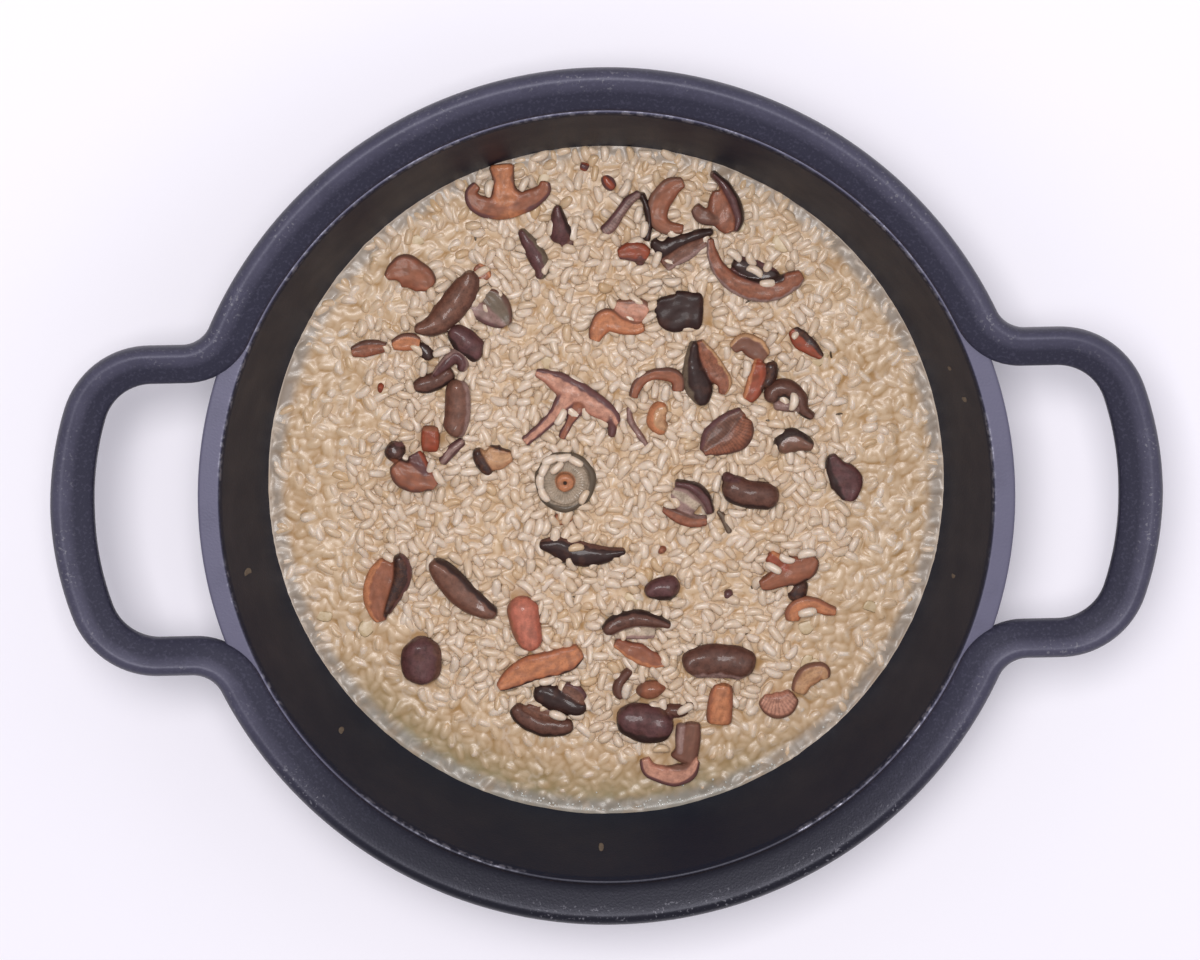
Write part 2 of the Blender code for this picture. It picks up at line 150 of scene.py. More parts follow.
class Graph:
    """A material's node tree, built from calls that each give back a signal."""

    def __init__(self, name: str) -> None:
        """Starts a material that holds a Principled shader alone.

        Args:
            name: The material's name.
        """
        self.material = bpy.data.materials.new(name)
        self.material.use_nodes = True
        self.tree = self.material.node_tree
        self.shader = self.tree.nodes["Principled BSDF"]
        self.place = self.node("ShaderNodeTexCoord", {}, {}, "Object")

    def node(self, kind: str, settings: dict, sockets: dict, output: object = 0) -> Signal:
        """Adds a node.

        Args:
            kind: The node's type.
            settings: Its own settings, set before its sockets.
            sockets: For each input, by name or number, a value or a signal.
            output: The output that the signal stands for, by name or number.

        Returns:
            The signal of that output.
        """
        made = self.tree.nodes.new(kind)
        for key, value in settings.items():
            setattr(made, key, value)
        for key, value in sockets.items():
            if isinstance(value, Signal):
                self.tree.links.new(value.socket, made.inputs[key])
            else:
                made.inputs[key].default_value = value
        return Signal(self, made.outputs[output])

    def noise(self, size: float, detail: float = 2.0) -> Signal:
        """Adds noise whose lumps are about size metres across."""
        sockets = {"Vector": self.place, "Scale": 1 / size, "Detail": detail}
        return self.node("ShaderNodeTexNoise", {}, sockets, "Fac")

    def attribute(self, name: str, output: str = "Fac") -> Signal:
        """Reads one of the piece's own attributes."""
        return self.node("ShaderNodeAttribute", {"attribute_name": name}, {}, output)

    def blend(self, factor: object, first: object, second: object) -> Signal:
        """Mixes two colours, each a signal or red, green and blue."""
        ends = [value if isinstance(value, Signal) else (*value, 1.0) for value in (first, second)]
        return self.node("ShaderNodeMix", {"data_type": "RGBA"}, {0: factor, 6: ends[0], 7: ends[1]}, 2)

    def bump(self, height: Signal, depth: float) -> Signal:
        """Turns a height signal into a normal, depth metres deep."""
        sockets = {"Height": height, "Distance": depth, "Strength": 1.0}
        return self.node("ShaderNodeBump", {}, sockets, "Normal")

    def finish(self, **sockets: object) -> bpy.types.Material:
        """Sets the shader's sockets.

        Args:
            sockets: For each socket, named with _ for a space, a value or a signal.

        Returns:
            The material.
        """
        for key, value in sockets.items():
            socket = self.shader.inputs[key.replace("_", " ")]
            if isinstance(value, Signal):
                self.tree.links.new(value.socket, socket)
            else:
                socket.default_value = (*value, 1.0) if socket.type == "RGBA" else value
        return self.material


# Finishes

@dataclass(frozen=True)
class CoatFinish:
    """Black coat on cast metal: satin, finely pebbled, worn to bright metal where it is rubbed, with painted
    light in its colour: a painted reflection on the ledge, painted highlights on the crest and in speckles,
    and painted shade on the south side.
    """

    coat: tuple = (0.026, 0.025, 0.042)
    # The pale violet of painted light: the reflection on the ledge and the highlights on the crest and in
    # the speckles
    ledge: tuple = (0.116, 0.110, 0.165)
    seasoned: tuple = (0.005, 0.009, 0.021)
    # The near black of painted shade over the pan's south side
    shaded: tuple = (0.004, 0.004, 0.007)
    metal: tuple = (0.24, 0.235, 0.28)
    chipped: tuple = (0.20, 0.195, 0.22)
    tint: tuple = (0.86, 0.86, 1.0)

    def make(self) -> bpy.types.Material:
        """Builds the material. It reads the attributes edge, crest, inside and ledge of the pan.

        Returns:
            The material.
        """
        g = Graph("black_coat")
        pebble, cloud = g.noise(0.9 * MM, 3.0), g.noise(14 * MM, 3.0)
        chips = g.noise(1.3 * MM, 4.0).step(0.58, 0.68) * g.noise(26 * MM, 2.0).step(0.44, 0.60)
        rubbed = g.noise(2.6 * MM, 3.0).step(0.44, 0.66) * g.noise(34 * MM, 2.0).step(0.42, 0.64)
        bare = g.attribute("edge") * rubbed
        flecked = g.attribute("crest") * chips * 0.65
        inside = g.attribute("inside")
        # north: 0 south of the band, 1 from a little north of it; it places the painted shade and highlights
        north = g.node("ShaderNodeSeparateXYZ", {}, {"Vector": g.place}, "Y").step(-0.15, -0.07)
        # Painted reflection: the flat ledge lightened towards the pale violet, as if it mirrored the
        # overhead lamp
        color = g.blend(g.attribute("ledge") * (0.7 + cloud * 0.6), self.coat, self.ledge)
        # Painted highlight: the crest lightened towards the pale violet, far more on the north side
        color = g.blend(g.attribute("crest") * (0.13 + cloud * 0.46) * (0.02 + north), color, self.ledge)
        # Painted shade: the pan's south side darkened towards near black
        color = g.blend((1 - north) * 0.85, color, self.shaded)
        # Pale speckles: a few everywhere as specks of wear, many more to the north as painted highlights
        color = g.blend(g.noise(1.2 * MM, 2.0).step(0.5, 0.7) * (0.03 + north * 0.17), color, self.ledge)
        color = g.blend(inside * (0.86 + cloud * 0.24), color, self.seasoned)
        color = g.blend(flecked, color, self.chipped)
        color = g.blend(bare, color, self.metal)
        return g.finish(Base_Color=color, Metallic=bare * 0.8,
                        Specular_IOR_Level=0.33, Specular_Tint=self.tint,
                        Roughness=0.34 + cloud * 0.14 - bare * 0.1 + inside * 0.1,
                        Normal=g.bump(pebble + flecked * 0.6, 0.07 * MM))


@dataclass(frozen=True)
class GrainFinish:
    """Cooked rice: plump pearly grains, each a little whiter or creamier than the next."""

    name: str = "grain"
    pearl: tuple = (0.70, 0.575, 0.465)
    cream: tuple = (0.54, 0.36, 0.195)
    roughness: float = 0.36

    def make(self) -> bpy.types.Material:
        """Builds the material. It reads each grain's tint.

        Returns:
            The material.
        """
        g = Graph(self.name)
        color = g.blend(g.attribute("tint"), self.cream, self.pearl)
        color = g.blend(g.noise(2.2 * MM, 2.0).step(0.4, 0.7) * 0.35, color, self.cream)
        return g.finish(Base_Color=color, Roughness=self.roughness, Coat_Weight=0.1, Coat_Roughness=0.2,
                        Subsurface_Weight=0.15, Subsurface_Radius=(1.2 * MM, 0.8 * MM, 0.5 * MM),
                        Subsurface_Scale=1.0, Normal=g.bump(g.noise(0.8 * MM, 2.0), 0.05 * MM))


@dataclass(frozen=True)
class SauceFinish:
    """Creamy sauce: glossy, paler over a grain just under it, with painted highlights along its menisci, and
    grey by the wall, where it is thin over the dark metal and painted shade falls.
    """

    deep: tuple = (0.37, 0.205, 0.075)
    over: tuple = (0.585, 0.42, 0.265)
    # The pale colour of painted highlights along the menisci, and of the starch film by the wall
    line: tuple = (0.72, 0.61, 0.50)
    broth: tuple = (0.235, 0.195, 0.095)
    # The grey by the wall: partly thin sauce over the dark metal, partly painted shade where the sauce meets
    # the wall
    wall_grey_and_shade: tuple = (0.245, 0.228, 0.212)

    def make(self) -> bpy.types.Material:
        """Builds the material. It reads the attributes near, line, thin and wall of the sauce.

        Returns:
            The material.
        """
        g = Graph("cream_sauce")
        color = g.blend(g.attribute("near"), self.deep, self.over)
        color = g.blend(g.attribute("thin") * (1 - g.attribute("near") * 0.5), color, self.broth)
        # By the wall: greyer, partly thin sauce over the dark metal and partly painted shade at the wall
        color = g.blend(g.attribute("wall") * 0.72, color, self.wall_grey_and_shade)
        # Painted highlight: the sauce lightened along its menisci; at the wall partly a starch film
        color = g.blend(g.attribute("line"), color, self.line)
        color = g.blend(g.noise(7 * MM, 3.0).step(0.45, 0.7) * 0.25, color, self.deep)
        return g.finish(Base_Color=color, Roughness=0.3 + g.noise(5 * MM) * 0.16,
                        Coat_Weight=0.06, Coat_Roughness=0.1,
                        Normal=g.bump(g.noise(1.4 * MM, 3.0), 0.06 * MM))


@dataclass(frozen=True)
class MushroomFinish:
    """Fried mushroom, wet with sauce. Its colours come from the piece; the shader adds mottling."""

    name: str
    mottle: tuple
    roughness: float
    gloss: float

    def make(self) -> bpy.types.Material:
        """Builds the material. It reads the attributes tone and gloss of the piece.

        Returns:
            The material.
        """
        g = Graph(self.name)
        spots = g.noise(2.6 * MM, 4.0).step(0.42, 0.68) * 0.32
        color = g.blend(spots, g.attribute("tone", "Color"), self.mottle)
        color = g.blend(g.noise(0.7 * MM, 2.0).step(0.48, 0.70) * 0.28, color, self.mottle)
        return g.finish(Base_Color=color, Roughness=self.roughness + g.noise(2 * MM) * 0.12,
                        Coat_Weight=g.attribute("gloss") * self.gloss, Coat_Roughness=0.09,
                        Specular_IOR_Level=0.15,
                        Normal=g.bump(g.noise(1.3 * MM, 3.0), 0.03 * MM))


@dataclass(frozen=True)
class PlainFinish:
    """A small wet thing of one colour that clouds towards another."""

    name: str
    color: tuple
    cloud: tuple
    roughness: float = 0.3
    size: float = 2.0 * MM

    def make(self) -> bpy.types.Material:
        """Builds the material from the two colours and one noise.

        Returns:
            The material.
        """
        g = Graph(self.name)
        color = g.blend(g.noise(self.size, 3.0).step(0.35, 0.65), self.color, self.cloud)
        return g.finish(Base_Color=color, Roughness=self.roughness,
                        Normal=g.bump(g.noise(self.size / 2), 0.05 * MM))


# Meshes from whole arrays

def globe_faces(rings: int, sides: int) -> list:
    """Joins rings of points between two poles: the first point, the rings in turn, the last point.

    Args:
        rings: How many rings there are.
        sides: How many points each ring has.

    Returns:
        An array of faces with four corners and one with three.
    """
    row, column = np.meshgrid(np.arange(rings - 1), np.arange(sides), indexing="ij")
    here, beside = 1 + row * sides + column, 1 + row * sides + (column + 1) % sides
    quads = np.stack([here, beside, beside + sides, here + sides], -1).reshape(-1, 4)
    side, following = np.arange(sides), (np.arange(sides) + 1) % sides
    last = 1 + rings * sides
    start = np.stack([np.zeros(sides, int), 1 + following, 1 + side], -1)
    end = np.stack([np.full(sides, last), last - sides + side, last - sides + following], -1)
    return [quads, np.vstack([start, end])]


def loop_faces(rows: int, columns: int) -> list:
    """Joins the points of a grid that closes on itself both ways.

    Args:
        rows: How many rows of points there are.
        columns: How many points each row has.

    Returns:
        A list of one array of faces with four corners.
    """
    row, column = np.meshgrid(np.arange(rows), np.arange(columns), indexing="ij")
    next_row, next_column = (row + 1) % rows, (column + 1) % columns
    corners = [row * columns + column, row * columns + next_column,
               next_row * columns + next_column, next_row * columns + column]
    return [np.stack(corners, -1).reshape(-1, 4)]


def volume(points: np.ndarray, faces: list) -> float:
    """Gives six times the signed volume of a closed mesh: the sum of its corners' triple products.

    Args:
        points: The mesh's corners.
        faces: Arrays of faces, one for each number of corners.

    Returns:
        The sum, positive where the faces point outwards.
    """
    total = 0.0
    for group in faces:
        for k in range(1, group.shape[1] - 1):
            a, b, c = points[group[:, 0]], points[group[:, k]], points[group[:, k + 1]]
            total += float(np.einsum("ij,ij->i", a, np.cross(b, c)).sum())
    return total


def add_object(name: str, data: bpy.types.ID) -> bpy.types.Object:
    """Makes an object of a mesh, a lamp or a camera, in the scene.

    Args:
        name: The object's name.
        data: What it shows.

    Returns:
        The new object.
    """
    made = bpy.data.objects.new(name, data)
    bpy.context.scene.collection.objects.link(made)
    return made


def aim(target: bpy.types.Object, place: tuple, right: np.ndarray, up: np.ndarray) -> None:
    """Puts a lamp or a camera in its place and turns it.

    Args:
        target: The lamp or the camera.
        place: Where it goes, in metres.
        right: Its own X axis.
        up: Its own Y axis.
    """
    axes = np.column_stack([right, up, np.cross(right, up)])
    target.matrix_world = Matrix.Translation(place) @ Matrix(axes.tolist()).to_4x4()


def new_piece(name: str, points: np.ndarray, faces: list, material: bpy.types.Material,
              attributes: dict | None = None, smooth: int | None = None) -> bpy.types.Object:
    """Puts arrays into a mesh object at the origin, its faces turned outwards.

    Args:
        name: The piece's name.
        points: Its corners, one row each, in metres.
        faces: Arrays of faces, one for each number of corners.
        material: What it is made of.
        attributes: For each attribute, a value or a colour for each corner.
        smooth: How many of the first faces are shaded smooth, or None for all.

    Returns:
        The new object, in the scene.
    """
    if volume(points, faces) < 0:
        faces = [group[:, ::-1] for group in faces]
    mesh = bpy.data.meshes.new(name)
    sizes = np.concatenate([np.full(len(group), group.shape[1]) for group in faces])
    loops = np.concatenate([group.reshape(-1) for group in faces])
    mesh.vertices.add(len(points))
    mesh.vertices.foreach_set("co", np.ascontiguousarray(points, np.float32).reshape(-1))
    mesh.loops.add(len(loops))
    mesh.loops.foreach_set("vertex_index", loops.astype(np.int32))
    mesh.polygons.add(len(sizes))
    mesh.polygons.foreach_set("loop_start", (np.cumsum(sizes) - sizes).astype(np.int32))
    for key, values in (attributes or {}).items():
        values = np.asarray(values, np.float32)
        kind, slot = ("FLOAT", "value") if values.ndim == 1 else ("FLOAT_COLOR", "color")
        if values.ndim == 2:
            values = np.hstack([values, np.ones((len(values), 1), np.float32)])
        mesh.attributes.new(key, kind, "POINT").data.foreach_set(slot, values.reshape(-1))
    mesh.update(calc_edges=True)
    mesh.validate()
    mesh.shade_smooth()
    if smooth is not None:
        mesh.polygons.foreach_set("use_smooth", np.arange(len(sizes)) < smooth)
    mesh.materials.append(material)
    return add_object(name, mesh)


def hand_over(piece: bpy.types.Object, slot: str, nodes: tuple = ()) -> None:
    """Makes a piece ride on the body, names its slot and the nodes it stands for, and logs it.

    Args:
        piece: The piece.
        slot: Its material slot, as in the record.
        nodes: The nodes of the solids that it takes the place of.
    """
    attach(piece, BODY)
    if nodes:
        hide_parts(*nodes)
    faces = len(piece.data.polygons)
    LOG.info("%s: %d faces, slot %s, for %s", piece.name, faces, slot, ", ".join(nodes) or "none")


def waves(points: np.ndarray, size: float, rng: np.random.Generator, count: int = 7) -> np.ndarray:
    """Gives smooth noise, mostly from -1 to 1: a sum of sine waves in random directions.

    Args:
        points: Where to work it out, one row each.
        size: About how long a wave is.
        rng: The source of random numbers.
        count: How many waves there are.

    Returns:
        A value for each point.
    """
    ways = rng.normal(size=(count, points.shape[1]))
    pace = (2 * np.pi / size) * rng.uniform(0.6, 1.5, (count, 1))
    ways *= pace / np.linalg.norm(ways, axis=1, keepdims=True)
    return np.sin(points @ ways.T + rng.uniform(0, 2 * np.pi, count)).sum(1) / math.sqrt(count) / 1.4


def smooth_step(low: float, high: float, value: np.ndarray) -> np.ndarray:
    """Rises from 0 at low to 1 at high, as 3t² - 2t³."""
    t = np.clip((value - low) / (high - low), 0, 1)
    return t * t * (3 - 2 * t)


def arc(center: tuple, radius: float, start: float, end: float, step: float) -> np.ndarray:
    """Gives points on an arc: centre plus radius times (cos, sin).

    Args:
        center: The arc's centre.
        radius: Its radius.
        start: The turn of its first point, in radians.
        end: The turn of its last point.
        step: About how far apart the points are.

    Returns:
        The points in order, one row each, both ends in.
    """
    turns = np.linspace(start, end, max(3, math.ceil(abs(end - start) * radius / step) + 1))
    return np.stack([center[0] + radius * np.cos(turns), center[1] + radius * np.sin(turns)], -1)


def between(p0: np.ndarray, p1: np.ndarray, p2: np.ndarray, p3: np.ndarray, t: np.ndarray) -> np.ndarray:
    """Gives Catmull-Rom points from p1 to p2: half of a cubic in t, with p0 and p3 for the slopes.

    Args:
        p0: The point before.
        p1: The point at t = 0.
        p2: The point at t = 1.
        p3: The point after.
        t: Shares of the way, one row each.

    Returns:
        A point for each share.
    """
    square, cube = 2 * p0 - 5 * p1 + 4 * p2 - p3, 3 * p1 - p0 - 3 * p2 + p3
    return 0.5 * (2 * p1 + (p2 - p0) * t + square * t ** 2 + cube * t ** 3)


# The pan

@dataclass
class Pan:
    """The cast pan: a turned bowl with a flat lip, and a band round it that runs out into the handles."""

    finish: CoatFinish = field(default_factory=CoatFinish)
    ledge_thick: float = 6.5 * MM
    wall_thick: float = 5.0 * MM
    hub_radius: float = 50.0 * MM
    edge_round: float = 1.0 * MM
    band_radius: float = 159.4 * MM
    band_width: float = 16.2 * MM
    band_crest: float = 6.8 * MM
    band_drop: float = 6.0 * MM
    grip_reach: float = 207.2 * MM
    grip_bow: float = 122.0 * MM
    arm_offset: float = 57.1 * MM
    arm_corner: float = 27.0 * MM
    arm_root: float = 20.0 * MM
    arm_width: float = 0.9
    steps: int = 288
    path_step: float = 2.6 * MM
    section_points: int = 30

    def bowl_section(self) -> np.ndarray:
        """Draws the half section from the base's middle out, up, over the lip and in to the floor's middle.

        Straight runs are cut into short ones near the lip, so that wear can follow its edge.

        Returns:
            Rows of radius and height.
        """
        foot, center = floor_fillet()
        outer = arc(center, FLOOR_FILLET + self.wall_thick, -math.pi / 2, -WALL_LEAN, 3 * MM)
        outer[:, 1] = np.maximum(outer[:, 1] - (FLOOR_THICK - self.wall_thick), 0)
        under = LIP_HEIGHT - self.ledge_thick
        shift = self.wall_thick / math.cos(WALL_LEAN)
        rounding = self.edge_round
        top_outer = arc((LEDGE_RADIUS - rounding, LIP_HEIGHT - rounding), rounding,
                        0, math.pi / 2, 0.3 * MM)
        lip = arc((LIP_RADIUS + rounding, LIP_HEIGHT - rounding), rounding,
                  math.pi / 2, math.pi - WALL_LEAN / 2, 0.2 * MM)
        run = np.linspace(LEDGE_RADIUS - 1.5 * MM, LIP_RADIUS + 1.3 * MM, 12)
        ledge = np.stack([run, np.full(len(run), LIP_HEIGHT)], -1)
        drop = np.linspace(LIP_HEIGHT - 1.6 * MM, foot, 34)[:-1]
        inside = np.stack([wall_radius(drop), drop], -1)
        inner = arc(center, FLOOR_FILLET, -WALL_LEAN, -math.pi / 2, 3 * MM)
        back = wall_radius(under) + shift
        neck = [(back - 0.6 * MM, under - 2.5 * MM), (back, under - 0.8 * MM), (back + 1.2 * MM, under),
                (LEDGE_RADIUS, under), (LEDGE_RADIUS, under + 1 * MM)]
        base = [(0, 0), (self.hub_radius, 0)]
        floor = [(self.hub_radius, FLOOR_THICK), (0, FLOOR_THICK)]
        return np.vstack([base, outer, neck, top_outer, ledge, lip, inside, inner, floor])

    def bowl(self, material: bpy.types.Material) -> bpy.types.Object:
        """Turns the half section about Z: a ring of points at each radius and height but those on the axis.

        Args:
            material: The coat.

        Returns:
            The bowl, with the attributes that the coat reads.
        """
        section = self.bowl_section()
        turns = np.linspace(0, 2 * np.pi, self.steps, endpoint=False)
        rings = section[1:-1]
        radius = rings[:, :1] * np.ones_like(turns)
        height = rings[:, 1:] * np.ones_like(turns)
        body = np.stack([radius * np.cos(turns), radius * np.sin(turns), height], -1).reshape(-1, 3)
        points = np.vstack([(0, 0, section[0, 1]), body, (0, 0, section[-1, 1])])
        reach = np.hypot(points[:, 0], points[:, 1])
        lip_gap = np.hypot(reach - LIP_RADIUS - 0.3 * MM, points[:, 2] - LIP_HEIGHT + 0.3 * MM)
        edge = 1 - smooth_step(0.5 * MM, 1.2 * MM, lip_gap)
        within = reach < wall_radius(points[:, 2]) + 1 * MM
        inside = smooth_step(0, 1 * MM, LIP_HEIGHT - points[:, 2]) * within
        # ledge: where the coat's colour holds a painted reflection of the overhead lamp
        ledge = smooth_step(0.4 * MM, 1.0 * MM, reach - LIP_RADIUS) * (points[:, 2] > LIP_HEIGHT - 2 * MM)
        attributes = {"edge": edge, "inside": inside, "crest": np.zeros(len(points)), "ledge": ledge}
        return new_piece("pan_bowl", points, globe_faces(len(rings), self.steps), material, attributes)

    def band_quarter(self) -> tuple:
        """Draws the centre line from the north to a grip's middle.

        Four arcs that meet in line, with a straight arm between the second and the third: round the lip,
        out at the arm's root, round the corner and along the bowed grip.

        Returns:
            The line's points, and the band's width at each as a share of its full width.
        """
        root_y = self.arm_offset + self.arm_root
        root_x = math.sqrt((self.band_radius + self.arm_root) ** 2 - root_y ** 2)
        root_turn = math.atan2(root_y, root_x)
        bow_x = self.grip_reach - self.grip_bow
        corner_y = self.arm_offset - self.arm_corner
        corner_x = bow_x + math.sqrt((self.grip_bow - self.arm_corner) ** 2 - corner_y ** 2)
        bow_turn = math.atan2(corner_y, corner_x - bow_x)
        step = self.path_step
        rim = arc((0, 0), self.band_radius, math.pi / 2, root_turn, 1.4 * step)
        root = arc((root_x, root_y), self.arm_root, root_turn + math.pi, 3 * math.pi / 2, 0.8 * step)
        arm_x = np.linspace(root_x, corner_x, 7)
        arm = np.stack([arm_x, np.full(len(arm_x), self.arm_offset)], -1)
        corner = arc((corner_x, corner_y), self.arm_corner, math.pi / 2, bow_turn, 0.8 * step)
        grip = arc((bow_x, 0), self.grip_bow, bow_turn, 0, step)
        line = np.vstack([rim[:-1], root[:-1], arm[:-1], corner[:-1], grip])
        ends = np.cumsum([0] + [len(part) - 1 for part in (rim, root, arm, corner, grip)])
        share = np.interp(np.arange(len(line)), ends, [1, 1, self.arm_width, self.arm_width, 0.97, 1.02])
        return line, share

    def band_section(self) -> np.ndarray:
        """Draws the band's section: a closed Catmull-Rom curve through a few corners.

        Returns:
            Rows of offset across the band, outwards, and height.
        """
        half, rim = self.band_width / 2, LIP_HEIGHT
        top, low = rim + self.band_crest, rim - self.band_drop
        corners = np.array([(-half, rim + 0.2 * MM), (-0.86 * half, rim + 2.0 * MM),
                            (-0.3 * half, rim + 4.3 * MM), (0.25 * half, top - 0.5 * MM),
                            (0.52 * half, top), (0.8 * half, top - 1.1 * MM),
                            (half, rim + 2.2 * MM), (half, low + 2.2 * MM), (0.72 * half, low),
                            (-0.72 * half, low), (-half, low + 2.4 * MM)])
        count = len(corners)
        at = np.linspace(0, count, self.section_points, endpoint=False)
        base, t = at.astype(int), (at % 1)[:, None]
        return between(*(corners[(base + k) % count] for k in (-1, 0, 1, 2)), t)

    def band(self, material: bpy.types.Material) -> bpy.types.Object:
        """Carries the section round the closed centre line, which is its first quarter mirrored twice.

        Args:
            material: The coat.

        Returns:
            The band, with the attributes that the coat reads.
        """
        line, share = self.band_quarter()
        east = np.vstack([line, line[-2::-1] * (1, -1)])
        widths = np.concatenate([share, share[-2::-1]])
        path = np.vstack([east, east[-2:0:-1] * (-1, 1)])
        widths = np.concatenate([widths, widths[-2:0:-1]])
        ahead = np.roll(path, -1, 0) - np.roll(path, 1, 0)
        out = np.stack([-ahead[:, 1], ahead[:, 0]], -1) / np.linalg.norm(ahead, axis=1, keepdims=True)
        section = self.band_section()
        across = path[:, None, :] + out[:, None, :] * (section[None, :, :1] * widths[:, None, None])
        height = np.broadcast_to(section[None, :, 1:], (len(path), len(section), 1))
        points = np.concatenate([across, height], -1).reshape(-1, 3)
        # crest: where chips fleck the coat as wear, and where the coat holds a painted highlight
        crest = smooth_step(LIP_HEIGHT + 4.6 * MM, LIP_HEIGHT + 6.2 * MM, points[:, 2])
        zero = np.zeros(len(points))
        attributes = {"edge": zero, "inside": zero, "crest": crest, "ledge": zero}
        return new_piece("pan_band", points, loop_faces(len(path), len(section)), material, attributes)

    def build(self) -> None:
        """Builds the bowl and the band, and hands them over."""
        material = self.finish.make()
        hand_over(self.bowl(material), "black_coat", ("pan",))
        hand_over(self.band(material), "black_coat", ("pan",))


# Mushroom pieces

FRIED_COLOR = np.array((0.115, 0.05, 0.034))
EDGE_DARKENING = np.array((0.2, 0.32, 0.34))
GILL_PITCH = 1.25
WRINKLE = 0.2


class Tone(Enum):
    """Mushroom colours as seen in the light of the pan, 0 to 255."""

    BLACK = (57, 40, 37)
    PURPLE = (98, 65, 64)
    DARK = (102, 69, 58)
    BROWN = (120, 82, 67)
    MAUVE = (150, 120, 112)
    OLIVE = (112, 96, 80)
    RED = (148, 72, 50)
    RUST = (148, 93, 70)
    ORANGE = (189, 123, 86)
    SALMON = (190, 113, 92)
    PINK = (196, 142, 119)
    TAN = (190, 146, 108)
    PALE = (192, 172, 150)

    def color(self) -> np.ndarray:
        """Gives the surface's own colour in linear light."""
        return np.array(linear(self.value, 0.97))


@dataclass(frozen=True)
class Section:
    """A stroke's section.

    It has the powers of its two sides, the depth in mm to which its top sinks, how round its ends
    are as a share of the width, and its share of the gloss.
    """

    across: float
    upward: float
    sink: float
    soft: float
    gloss: float


class Look(Enum):
    """How a stroke is drawn: round, or cut flat, or cut flat with gills."""

    ROUND = Section(across=0.95, upward=0.95, sink=0.0, soft=0.55, gloss=1.0)
    FLAT = Section(across=0.7, upward=0.5, sink=0.5, soft=0.16, gloss=0.3)
    GILLED = Section(across=0.8, upward=0.6, sink=0.4, soft=0.2, gloss=0.28)


def run_along(rows: np.ndarray) -> np.ndarray:
    """Gives how far along a line each of its points lies: the sum of the steps before it."""
    return np.concatenate([[0], np.cumsum(np.hypot(*np.diff(rows[:, :2], axis=0).T))])


